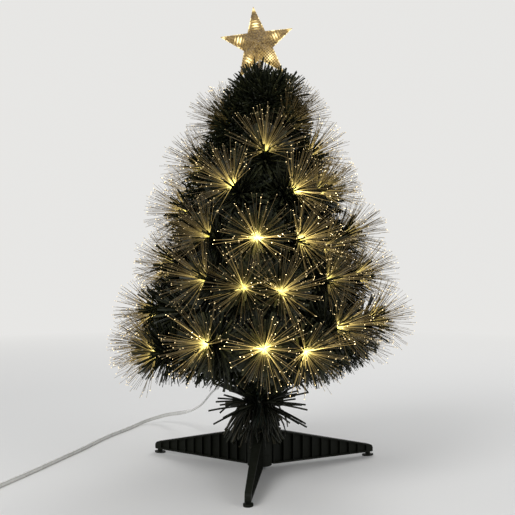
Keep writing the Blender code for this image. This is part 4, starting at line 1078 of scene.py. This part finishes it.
# %% [markdown]
# A fibre spray is a bundle of thin clear fibres in the mouth of a dark sleeve. A warm lamp
# in the sleeve shines into them: they glow most at the root, dimly along their length, and
# brightly again at the cut tips. The template is one fibre along +Z, three-sided and
# slightly bent, with a small bead for the glowing tip.
# %% Fibre template
FIBRE_LENGTH = 0.063
FIBRE_RADIUS = 0.00023
TIP_RADIUS = 0.00052
FIBRE_BEND = 0.0035
STRAND_BEFORE_TIP = 0.96

angles = [2 * math.pi * k / 3 for k in range(3)]
section = [(FIBRE_RADIUS * math.cos(angle), FIBRE_RADIUS * math.sin(angle)) for angle in angles]
vertices, along = strand_rings(section, FIBRE_LENGTH - TIP_RADIUS, FIBRE_BEND)
strand = [STRAND_BEFORE_TIP * t for t in along]
middle = Vector((0, FIBRE_BEND, FIBRE_LENGTH - TIP_RADIUS))
first = len(vertices)
for way in ((1, 0, 0), (0, 1, 0), (-1, 0, 0), (0, -1, 0), (0, 0, 1), (0, 0, -1)):
    vertices.append(middle + Vector(way) * TIP_RADIUS)
    strand.append(1.0)
faces = list(STRAND_FACES)
for k in range(4):
    j = (k + 1) % 4
    faces += [(first + k, first + j, first + 4), (first + j, first + k, first + 5)]
fibre = with_values(mesh_from("fibre_template", vertices, faces), strand=strand)
fibre_template = linked("fibre_template", fibre)
print(f"{len(fibre_template.data.polygons)} faces in a fibre")

# %% [markdown]
# The fibre's material is clear plastic seen as a thin line, with a glow whose colour and
# strength follow `strand`. The attribute `lamp` says how brightly that spray's lamp burns and
# `vigour` what the fibre takes of its light, which counts less close to the lamp. Emission
# Strength stays one number, and the glow's colour carries the change.
# %% Lit fibre
FOOT_VIGOUR = 1.3

lit_fibre, shader = finish_named("lit_fibre", Roughness=0.30, Emission_Strength=5.0, Specular_IOR_Level=0.3)
mottled(shader, (0.070, 0.050, 0.022), (0.130, 0.094, 0.041), 30.0)
strand = attribute(shader.tree, "strand")
glow = ramp_of(
    strand,
    (0.0, (1.0, 0.90, 0.12)),
    (0.10, (0.66, 0.55, 0.155)),
    (0.22, (0.235, 0.175, 0.052)),
    (0.44, (0.074, 0.053, 0.0175)),
    (0.72, (0.025, 0.0175, 0.0058)),
    (0.94, (0.016, 0.0112, 0.0038)),
    (0.975, (0.45, 0.345, 0.165)),
    (1.0, (0.62, 0.48, 0.24)),
)
vigour = (attribute(shader.tree, "vigour") - FOOT_VIGOUR) * risen(strand, 0.03, 0.18) + FOOT_VIGOUR
strength = attribute(shader.tree, "lamp") * vigour
shader["Emission Color"] = scaled(glow, strength, shader.tree)
print(f"{len(shader.tree.nodes)} nodes in the fibre's finish")

# %% [markdown]
# The fan tree starts from one point for each lamp and stands about a hundred fibres on it.
# They go out in small bundles, because fibres cut from one strand keep together. The bundles
# spread evenly over a wide cone by the golden angle, and each fibre strays a little from
# its bundle. Lamps that burn low have fuller and narrower fans, which point outwards. Some
# sectors of a fan take more of the lamp's light than others.
# %% Node tree that opens a fan
START_TURN_STEP = 2.4
OPENING_POWER = 0.68
LENGTH_POWER = 0.42
fan, source, result = growth_tree(
    "fibre_fan",
    ("Template", OBJECT, None),
    ("Fibres", WHOLE, 96),
    ("Bundle", WHOLE, 4),
    ("Stray", NUMBER, math.radians(8)),
    ("Least Length", NUMBER, 0.62),
    ("Seed", WHOLE, 1),
)


def lamp_points(source):
    return put(source.tree, "GeometryNodeMeshToPoints", {"Mesh": source["Geometry"], "Radius": 0.001})[0]


def lamp_ways(tree):
    return upright_along(named_value(tree, "way", "FLOAT_VECTOR"))


amount = source["Fibres"] * named_value(fan, "fullness")
inputs = {"Geometry": lamp_points(source), "Amount": amount}
many = put(fan, "GeometryNodeDuplicateElements", inputs, domain="POINT")
bundle = math_of("FLOOR", many["Duplicate Index"] / source["Bundle"])
start_turn = named_value(fan, "start_turn")
stray = random_between(fan, -1.0, 1.0, source["Seed"]) * source["Stray"]
turn = bundle * GOLDEN_ANGLE + start_turn + stray * 2.0
opening = math_of("POWER", (bundle + 0.5) / (amount / source["Bundle"]), OPENING_POWER)
lean = opening * named_value(fan, "spread") + random_between(fan, -1.0, 1.0, 5) * source["Stray"]
way = turned_by(lamp_ways(fan), z=turn)
way = turned_by(way, x=lean * -1.0)
way = turned_by(way, z=random_between(fan, -3.14, 3.14, 9))
size = math_of("POWER", random_between(fan, 0.0, 1.0, 3), LENGTH_POWER)
size = ranged(size, source["Least Length"], 1.0)
free = outside_star(many[0], way, FIBRE_LENGTH, size)
fibres = copies_on(free, source["Template"], way, size)
own = random_between(fan, 0.55, 1.15, 21)
bundle_name = bundle + start_turn * 31.0
shared = math_of("POWER", random_between(fan, 0.40, 1.45, 22, bundle_name), 2.0)
around = turn + start_turn * 3.7
lobes = math_of("SINE", around * 3.0) + math_of("SINE", around * 2.0)
vigour = own * (shared * ranged(lobes, 0.22, 2.4, -0.9, 1.6))
finished(stored(fibres, "vigour", vigour, "INSTANCE"), lit_fibre, result)


def lamp_mesh(mouths):
    """One point for each lamp: where its sleeve's mouth is, which way it looks, how bright it is."""
    places, ways, levels = zip(*mouths)
    dim = [level < DIM_BELOW_LEVEL for level in levels]
    mesh = with_values(
        mesh_from("lamps", places, []),
        lamp=levels,
        start_turn=[START_TURN_STEP * i for i in range(len(mouths))],
        fullness=[DIM_FULLNESS if is_dim else 1.0 for is_dim in dim],
        spread=[DIM_SPREAD if is_dim else SPREAD for is_dim in dim],
    )
    looks = mesh.attributes.new("way", "FLOAT_VECTOR", "POINT")
    looks.data.foreach_set("vector", [x for way in ways for x in way])
    return mesh


def mouths_of(whorl):
    return [(mouth, way, level) for (root, mouth, way), level in lit_branches(whorl)]


print(f"{len(fan.nodes)} nodes in the fan tree")

# %% [markdown]
# Each whorl's fans are one piece. It stands for the CAD sprays of that whorl, which are
# numbered through from the lowest whorl up.
# %% Fibre fans
spray = 0
for whorl in WHORLS:
    lamps = lamp_mesh(mouths_of(whorl))
    piece = grown(f"fibre_fans_{whorl + 1}", lamps, fan, Template=fibre_template, Seed=40 + whorl)
    count = len(WHORL_BRANCHES[whorl])
    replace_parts(piece, *[f"fibre_spray_{spray + k + 1:02d}" for k in range(count)])
    spray += count
    on_tree("fibre", piece)
    print(f"{piece.name}: {len(piece.data.polygons)} faces, {count} CAD sprays")

# %% [markdown]
# The sleeve is a length of dark shrink tube, drawn in at the wire and open at its mouth,
# where the lamp's clear dome looks out. Both are turned shapes, set on the same points.
# %% Lamp sleeves and lamps
SLEEVE_SHADES = ((0.006, 0.010, 0.007), (0.012, 0.018, 0.013))
sleeve_rubber = plastic_finish("sleeve_rubber", *SLEEVE_SHADES, 0.5, grain=1100.0)
lamp_glow, shader = finish_named("lamp_glow", Roughness=0.15, Emission_Strength=5.0)
mottled(shader, (0.80, 0.72, 0.50), (0.86, 0.80, 0.62), 900.0)
glow = scaled((1.0, 0.92, 0.10), attribute(shader.tree, "lamp"), shader.tree)
shader["Emission Color"] = glow

sleeve_profile = (
    (0.0013, -SLEEVE_LENGTH),
    (0.0019, -SLEEVE_LENGTH + 0.0004),
    (0.0021, -SLEEVE_LENGTH + 0.0030),
    (SLEEVE_RADIUS, -SLEEVE_LENGTH + 0.0050),
    (SLEEVE_RADIUS, -0.0004),
    (SLEEVE_RADIUS - 0.0003, 0.0),
    (SLEEVE_RADIUS - 0.0007, -0.0004),
    (SLEEVE_RADIUS - 0.0007, -0.0050),
    (0.0013, -0.0052),
)
dome_profile = ((0.0001, -0.0046), (0.0016, -0.0045), (0.0016, -0.0012), (0.0011, -0.0002), (0.0001, 0.0002))
sleeve_template = linked("sleeve_template", turned("sleeve_template", sleeve_profile, 12))
lamp_template = linked("lamp_template", turned("lamp_template", dome_profile, 10))


def placing_tree(name, finish):
    """A tree that stands one copy of the template on each point, along the point's way."""
    tree, source, result = growth_tree(name, ("Template", OBJECT, None))
    finished(copies_on(lamp_points(source), source["Template"], lamp_ways(tree)), finish, result)
    return tree


place_sleeves = placing_tree("place_sleeves", sleeve_rubber)
place_lamps = placing_tree("place_lamps", lamp_glow)
for whorl in WHORLS:
    mouths = mouths_of(whorl)
    sleeves = grown(f"lamp_sleeves_{whorl + 1}", lamp_mesh(mouths), place_sleeves, Template=sleeve_template)
    lamps = grown(f"lamps_{whorl + 1}", lamp_mesh(mouths), place_lamps, Template=lamp_template)
    on_tree("needle_film", sleeves)
    on_tree("fibre", lamps)
print(f"{spray} CAD sprays have their sleeves and lamps")

# %% [markdown]
# The top of the tree is a bushy leader: the star's stem with needles all round, standing
# steeply. The same brush tree grows it on lines up the stem. The stem itself is a square
# wire on a round plug that sits in the pole's mouth.
# %% Leader under the star
STEM_FOOT = 0.4708
STEM_BOTTOM = 0.4743
STEM_TOP = 0.5587
STEM_HALF_WIDTH = 0.0016
STEM_EDGE = 0.0003
PLUG_RADIUS = 0.0069
LEADER_TUFTS = ((5, 0.478, 0.506, 84, 66), (8, 0.502, 0.520, 86, 26), (7, 0.506, 0.526, 48, 14))

leader_lines = []
for count, low, high, *leans in LEADER_TUFTS:
    leader_lines += [tuft_line(UP * low, UP * high, *leans)] * count
leader = grown("needles_top", wire_mesh(leader_lines), brush, Template=needle_template, Seed=31)
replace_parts(leader, "top_stem")

stem = bmesh.new()
bmesh.ops.create_cube(stem, size=1.0)
for vertex in stem.verts:
    x, y, z = vertex.co
    vertex.co = (x * 2 * STEM_HALF_WIDTH, y * 2 * STEM_HALF_WIDTH, STEM_FOOT if z < 0 else STEM_TOP)
bmesh.ops.bevel(stem, geom=stem.edges[:], offset=STEM_EDGE, segments=2, affect="EDGES")
star_stem = linked("star_stem", mesh_of_bmesh("star_stem", stem), branch_tape)
plug_profile = (
    (0.0002, 0.4551),
    (PLUG_RADIUS - 0.0008, 0.4550),
    (PLUG_RADIUS, 0.4560),
    (PLUG_RADIUS, 0.4703),
    (POLE_RADIUS - 0.0003, 0.4703),
    (POLE_RADIUS, 0.4707),
    (POLE_RADIUS, 0.4737),
    (POLE_RADIUS - 0.0006, STEM_BOTTOM),
    (0.0002, STEM_BOTTOM),
)
stem_plug = linked("stem_plug", turned("stem_plug", plug_profile, 32), stand_plastic)
on_tree("needle_film", leader, star_stem, stem_plug)
print(f"{len(leader.data.polygons)} faces in the leader")

# %% [markdown]
# Below the lowest whorl a skirt of strips hides the pole. They stand out in clumps to all
# sides, most of them stiffly, and the lowest curl over. So each is a line of its own that
# leaves the pole at a slope and turns down, and the strip is swept along it.
# `lowest_allowed` says how low a strip may hang at a place: above the hub and above the
# legs, either where they are at rest or in all that they sweep when they fold.
# %% Trunk skirt
SKIRT_CLUMPS = 30
STRIPS_IN_A_CLUMP = 4
CLUMP_HEIGHT = 0.090
SKIRT_ROOT_RADIUS = POLE_RADIUS + 0.001
LEGS_AT_REST = ((-94.5, -94.5), (146.5, 146.5), (26.5, 26.5))
LEGS_SWEEP = ((-94.5, -94.5), (146.5, 221.5), (-48.5, 26.5))
LEG_ROOT_RADIUS = 0.018
LEG_REACH = 0.185
LEG_ROOM_HALF_WIDTH = 0.0083
LEG_TOP_AT_ROOT = 0.0560
LEG_DROP = 0.0385
HUB_ROOM_RADIUS = 0.0192
HUB_ROOM_TOP = 0.0590
LOWEST_BETWEEN_LEGS = 0.0345
generator = np.random.default_rng(5)


def off_sector(azimuth, start, end):
    """How many degrees a direction is outside a sector."""
    return abs((azimuth - (start + end) / 2 + 180) % 360 - 180) - (end - start) / 2


def lowest_allowed(point, legs):
    radius = math.hypot(point.x, point.y)
    azimuth = math.degrees(math.atan2(point.y, point.x))
    if radius < HUB_ROOM_RADIUS:
        return HUB_ROOM_TOP
    for start, end in legs:
        off = off_sector(azimuth, start, end)
        if off < 80 and radius * math.sin(math.radians(max(off, 0.0))) < LEG_ROOM_HALF_WIDTH:
            return LEG_TOP_AT_ROOT - LEG_DROP * (radius - LEG_ROOT_RADIUS) / (LEG_REACH - LEG_ROOT_RADIUS)
    return LOWEST_BETWEEN_LEGS


def standing_line(azimuth, height, length, slope, fall, steps=7):
    """A strip's line: it starts at a slope and turns down by a share of a radian at each step."""
    out = level_direction(azimuth)
    side = UP.cross(out)
    sway = generator.normal(0, 0.16)
    point = out * SKIRT_ROOT_RADIUS + UP * height
    line = [point]
    for i in range(steps):
        slope = max(slope - fall / steps * generator.uniform(0.6, 1.4), -1.5)
        way = (out * math.cos(slope) + side * sway * (i + 1) / steps + UP * math.sin(slope)).normalized()
        point = point + way * length / steps
        point.z = max(point.z, lowest_allowed(point, LEGS_SWEEP))
        line.append(point)
    return line


skirt_lines = []
for i in range(SKIRT_CLUMPS):
    clump_azimuth = math.degrees(GOLDEN_ANGLE) * i + generator.uniform(-12, 12)
    clump_slope = 1.05 - 1.6 * i / SKIRT_CLUMPS
    for k in range(STRIPS_IN_A_CLUMP):
        azimuth = clump_azimuth + generator.uniform(-15, 15)
        slope = clump_slope + generator.normal(0, 0.07)
        height = CLUMP_HEIGHT + 0.005 * clump_slope + generator.uniform(-0.003, 0.003)
        length = generator.uniform(0.044, 0.066)
        fall = 0.12 if generator.random() < 0.72 + 0.4 * clump_slope else 1.3
        skirt_lines.append(standing_line(azimuth, height, length, slope, fall))
print(f"{len(skirt_lines)} strips stand out from the trunk")

# %% [markdown]
# The rest of the strips hang. They make a cone over the hub: over the front leg they lie on
# its root, and beside it they hang in front of the side legs. Those are in the way of a side
# leg when it folds, and the soft film is then pushed up, so the strips on each side are a
# piece of their own.
# %% Strips over the hub
HANGING_FROM = (0.104, 0.098, 0.092, 0.086, 0.080)
HANGING_IN_A_ROW = 32
TRUNK_LINE = ([UP * 0.090, UP * 0.148], (62, 48))
TRUNK_DENSITY = 5
BAND_PROFILE = ((0.0083, 0.060), (0.0105, 0.060), (0.0105, 0.108), (0.0083, 0.108))


def hanging_line(azimuth, height, steps=8):
    out = level_direction(azimuth)
    side = UP.cross(out)
    sway = generator.normal(0, 0.008)
    if off_sector(azimuth, *LEGS_AT_REST[0]) < 15:
        spread, length = generator.uniform(0.030, 0.056), generator.uniform(0.044, 0.058)
    else:
        spread = generator.uniform(0.020, 0.039 - 0.011 * out.x)
        length = generator.uniform(0.036, 0.058)
    line = []
    for i in range(steps + 1):
        t = i / steps
        radius = SKIRT_ROOT_RADIUS + (spread - POLE_RADIUS) * t**0.75
        point = out * radius + side * sway * t * t + UP * (height - length * t**1.15)
        point.z = max(point.z, lowest_allowed(point, LEGS_AT_REST) + 0.0010 * (1 - t))
        line.append(point)
    return line


lines_of = {"needle_skirt": skirt_lines, "needle_skirt_left": [], "needle_skirt_right": []}
for height in HANGING_FROM:
    for i in range(HANGING_IN_A_ROW):
        azimuth = 360 * (i + generator.uniform(-0.5, 0.5)) / HANGING_IN_A_ROW
        line = hanging_line(azimuth, height)
        in_the_way = any(point.z < lowest_allowed(point, LEGS_SWEEP) for point in line)
        side = "_left" if line[-1].x < 0 else "_right"
        lines_of["needle_skirt" + side * in_the_way].append(line)
print({name: len(lines) for name, lines in lines_of.items()}, "strips")

strips, source, result = growth_tree(
    "skirt_strips", ("Width", NUMBER, NEEDLE_WIDTH), ("Thickness", NUMBER, NEEDLE_CREASE)
)
level_normals = put(strips, "GeometryNodeSetCurveNormal", {"Curve": curves_of(source)}, mode="Z_UP")
inputs = {"Width": source["Thickness"], "Height": source["Width"]}
outline = put(strips, "GeometryNodeCurvePrimitiveQuadrilateral", inputs)
curves = stored(level_normals[0], "strand", named_value(strips, "along"), "POINT")
curves = stored(curves, "shade", random_between(strips, 0.0, 1.0, 3), "CURVE")
finished(tubed(curves, outline[0]), skirt_film, result)

skirts = []
for name, lines in lines_of.items():
    skirts.append(grown(name, wire_mesh([(line, [0] * len(line)) for line in lines]), strips))
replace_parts(skirts[0], "trunk_skirt")
trunk_lines = wire_mesh([TRUNK_LINE] * TRUNK_DENSITY)
trunk = grown("needles_trunk", trunk_lines, brush, Template=needle_template, Seed=37)
skirt_band = linked("skirt_band", turned("skirt_band", BAND_PROFILE, 32), branch_tape)
on_tree("needle_film", *skirts, skirt_band, trunk)
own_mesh(skirts[1])
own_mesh(skirts[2])
print(f"{sum(len(skirt.data.polygons) for skirt in skirts)} faces in the skirt")

# %% [markdown]
# The star is two clear faceted shells with cross bars over five warm lamps. Each lamp lights
# the plastic close round it and the bars above it, the edges of the arm pipe light outwards
# and a little of it gathers in each tip. One group measures this along one arm, whose way
# from the centre is given by Arm X and Arm Z, and the five arms are added up.
# %% Light in one arm of the star
STAR_HEIGHT = 0.5872
STAR_RADIUS = 0.0529
STAR_NOTCH_RADIUS = 0.40 * STAR_RADIUS
STAR_X = -0.0026
STAR_TURN = 7.0
STAR_BAR_FIRST = 0.38
STAR_BAR_PITCH = 0.075
TIP_SPOT_AT = 0.91
TIP_SPOT_REACH = 0.0062
BARS_REACH = 0.0115
PRISMS_AT = 0.48
PRISMS_REACH = 0.021
EDGE_FROM, EDGE_TO, EDGE_END = 0.76, 0.94, 1.3
NOTCH_ALONG = STAR_NOTCH_RADIUS * math.cos(math.radians(36))
SLENDERNESS = STAR_NOTCH_RADIUS * math.sin(math.radians(36)) / (STAR_RADIUS - NOTCH_ALONG)


def near(first, second, reach):
    """1 at the middle of a spot, easing to 0 at its reach; first and second are the distances."""
    away = math_of("SQRT", first * first + second * second)
    share = math_of("SUBTRACT", 1.0, away / reach, clamp=True)
    return share * share


lit_arm, source, result = new_tree(
    "lit_arm",
    (("Arm X", NUMBER, 0.0), ("Arm Z", NUMBER, 1.0), ("Reach", NUMBER, 0.007)),
    (("Glow", NUMBER), ("Bars", NUMBER), ("Edges", NUMBER), ("Prisms", NUMBER)),
)
axes = axes_of(put(lit_arm, "ShaderNodeTexCoord")["Object"])
dx, dz = axes["X"] - STAR_X, axes["Z"] - STAR_HEIGHT
out = dx * source["Arm X"] + dz * source["Arm Z"]
aside = dz * source["Arm X"] - dx * source["Arm Z"]
past_lamp = out - STAR_RADIUS / 2
tip = near(out - STAR_RADIUS * TIP_SPOT_AT, aside, TIP_SPOT_REACH)
result["Glow"] = near(past_lamp, aside, source["Reach"]) + tip * 1.5
share = (out - STAR_RADIUS * STAR_BAR_FIRST) / STAR_RADIUS
wave = risen(math_of("COSINE", share * (2 * math.pi / STAR_BAR_PITCH)), -0.35, 0.7)
wide = near(past_lamp, aside * 1.35, BARS_REACH)
result["Bars"] = math_of("MULTIPLY", wave * wide, 2.4, clamp=True)
half_width = math_of("MAXIMUM", math_of("SUBTRACT", STAR_RADIUS, out) * SLENDERNESS, 0.0004)
across_share = math_of("ABSOLUTE", aside) / half_width
rim = risen(across_share, EDGE_FROM, EDGE_TO) * risen(out, NOTCH_ALONG, NOTCH_ALONG * 1.5)
result["Edges"] = rim * math_of("LESS_THAN", across_share, EDGE_END)
result["Prisms"] = near(out - STAR_RADIUS * PRISMS_AT, aside, PRISMS_REACH)


def light_of_arms(tree, reach, shares):
    """What the five arms give together, anticlockwise from the top; shares holds each arm's part."""
    totals = dict.fromkeys(shares, 0.0)
    for i in range(5):
        angle = math.radians(90 + STAR_TURN + 72 * i)
        arm = group_in(tree, lit_arm, Arm_X=math.cos(angle), Arm_Z=math.sin(angle), Reach=reach)
        for key, weights in shares.items():
            totals[key] = arm[key] * weights[i] + totals[key]
    return totals


print(f"{len(lit_arm.nodes)} nodes light one arm")

# %% [markdown]
# The shells are clear plastic with a warm cast, so what lies behind shows through them in
# amber. A diamond pattern in the bump stands for the prisms moulded into their insides. The
# glow is a mask in the emission, because real light would have to find its way through four
# curved surfaces and would leave only noise.
# %% Star
EVEN = (1.0,) * 5
GLOW_SHARES = (1.0, 1.0, 0.8, 0.45, 0.8)
BAR_SHARES = (0.85, 1.05, 0.65, 0.0, 0.60)
PRISM_SHARES = (0.06, 0.04, 0.30, 1.0, 0.22)
PRISM_SLOPES_IN_A_METRE = 690
STREAK_SCALES = (650, 650, 60)

star_plastic, shader = finish_named(
    "star_plastic", Transmission_Weight=0.55, IOR=1.49, Roughness=0.14, Emission_Strength=1.6
)
tree = shader.tree
mottled(shader, (0.040, 0.025, 0.008), (0.32, 0.23, 0.10), 125.0)
place = put(tree, "ShaderNodeTexCoord")["Object"]
ridges = []
for turn in (45.0, -45.0):
    scales = (PRISM_SLOPES_IN_A_METRE,) * 3
    inputs = {"Vector": place, "Rotation": (0, math.radians(turn), 0), "Scale": scales}
    ridges.append(math_of("PINGPONG", axes_of(put(tree, "ShaderNodeMapping", inputs)[0])["X"], 1.0))
diamonds = ridges[0] + ridges[1]
bumped(shader, diamonds, 0.0005, 0.7)
shares = {"Glow": GLOW_SHARES, "Bars": BAR_SHARES, "Edges": EVEN, "Prisms": PRISM_SHARES}
totals = light_of_arms(tree, 0.0065, shares)
sparkle = risen(noise_in(tree, 420.0, 2.0, place), 0.42, 0.62)
# Streaks of painted light, just below the star's centre.
streak_stretch = put(tree, "ShaderNodeMapping", {"Vector": place, "Scale": STREAK_SCALES})[0]
streaks = risen(noise_in(tree, 1.0, 1.0, streak_stretch), 0.50, 0.66)
axes = axes_of(place)
below = axes["Z"] - (STAR_HEIGHT - 0.7 * STAR_NOTCH_RADIUS)
streaks = streaks * near(axes["X"] - STAR_X, below * 0.7, 0.013)
light = totals["Glow"] * 0.55 + totals["Bars"] * 0.85
light = light + totals["Edges"] * sparkle * 0.95
light = light + totals["Prisms"] * ranged(diamonds, 0.02, 1.0, 0.80, 1.25) * 0.95
light = light + streaks * 0.35 + sparkle * 0.13
glow = ramp_of(light, (0.0, (0.022, 0.012, 0.003)), (0.35, (0.25, 0.175, 0.058)), (1.0, (1.0, 0.85, 0.45)))
shader["Emission Color"] = glow

lamp_carrier, shader = finish_named("lamp_carrier", Roughness=0.3, Emission_Strength=2.6)
mottled(shader, (0.42, 0.29, 0.11), (0.54, 0.39, 0.17), 120.0)
totals = light_of_arms(shader.tree, 0.0045, {"Glow": EVEN})
glow = ramp_of(totals["Glow"], (0.12, (0.030, 0.018, 0.004)), (0.4, (1.0, 0.82, 0.38)))
shader["Emission Color"] = glow

clear_socket, shader = finish_named("clear_socket", Transmission_Weight=0.85, IOR=1.49, Roughness=0.12)
mottled(shader, (0.40, 0.28, 0.11), (0.54, 0.40, 0.18), 200.0)
grained(shader, 500.0, 0.00005)

give_finish(star_plastic, "star_front_shell", "star_rear_shell")
give_finish(lamp_carrier, "star_lamp_ring")
give_finish(clear_socket, "star_socket")

# %% [markdown]
# The templates have done their work and go. Last, the box of the dressed model is printed.
# %% Close
for template in (needle_template, fibre_template, sleeve_template, lamp_template):
    bpy.data.objects.remove(template, do_unlink=True)

bpy.context.scene.view_settings.view_transform = "Standard"
low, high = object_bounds()
print("visual box", tuple(round(v, 4) for v in low), tuple(round(v, 4) for v in high))
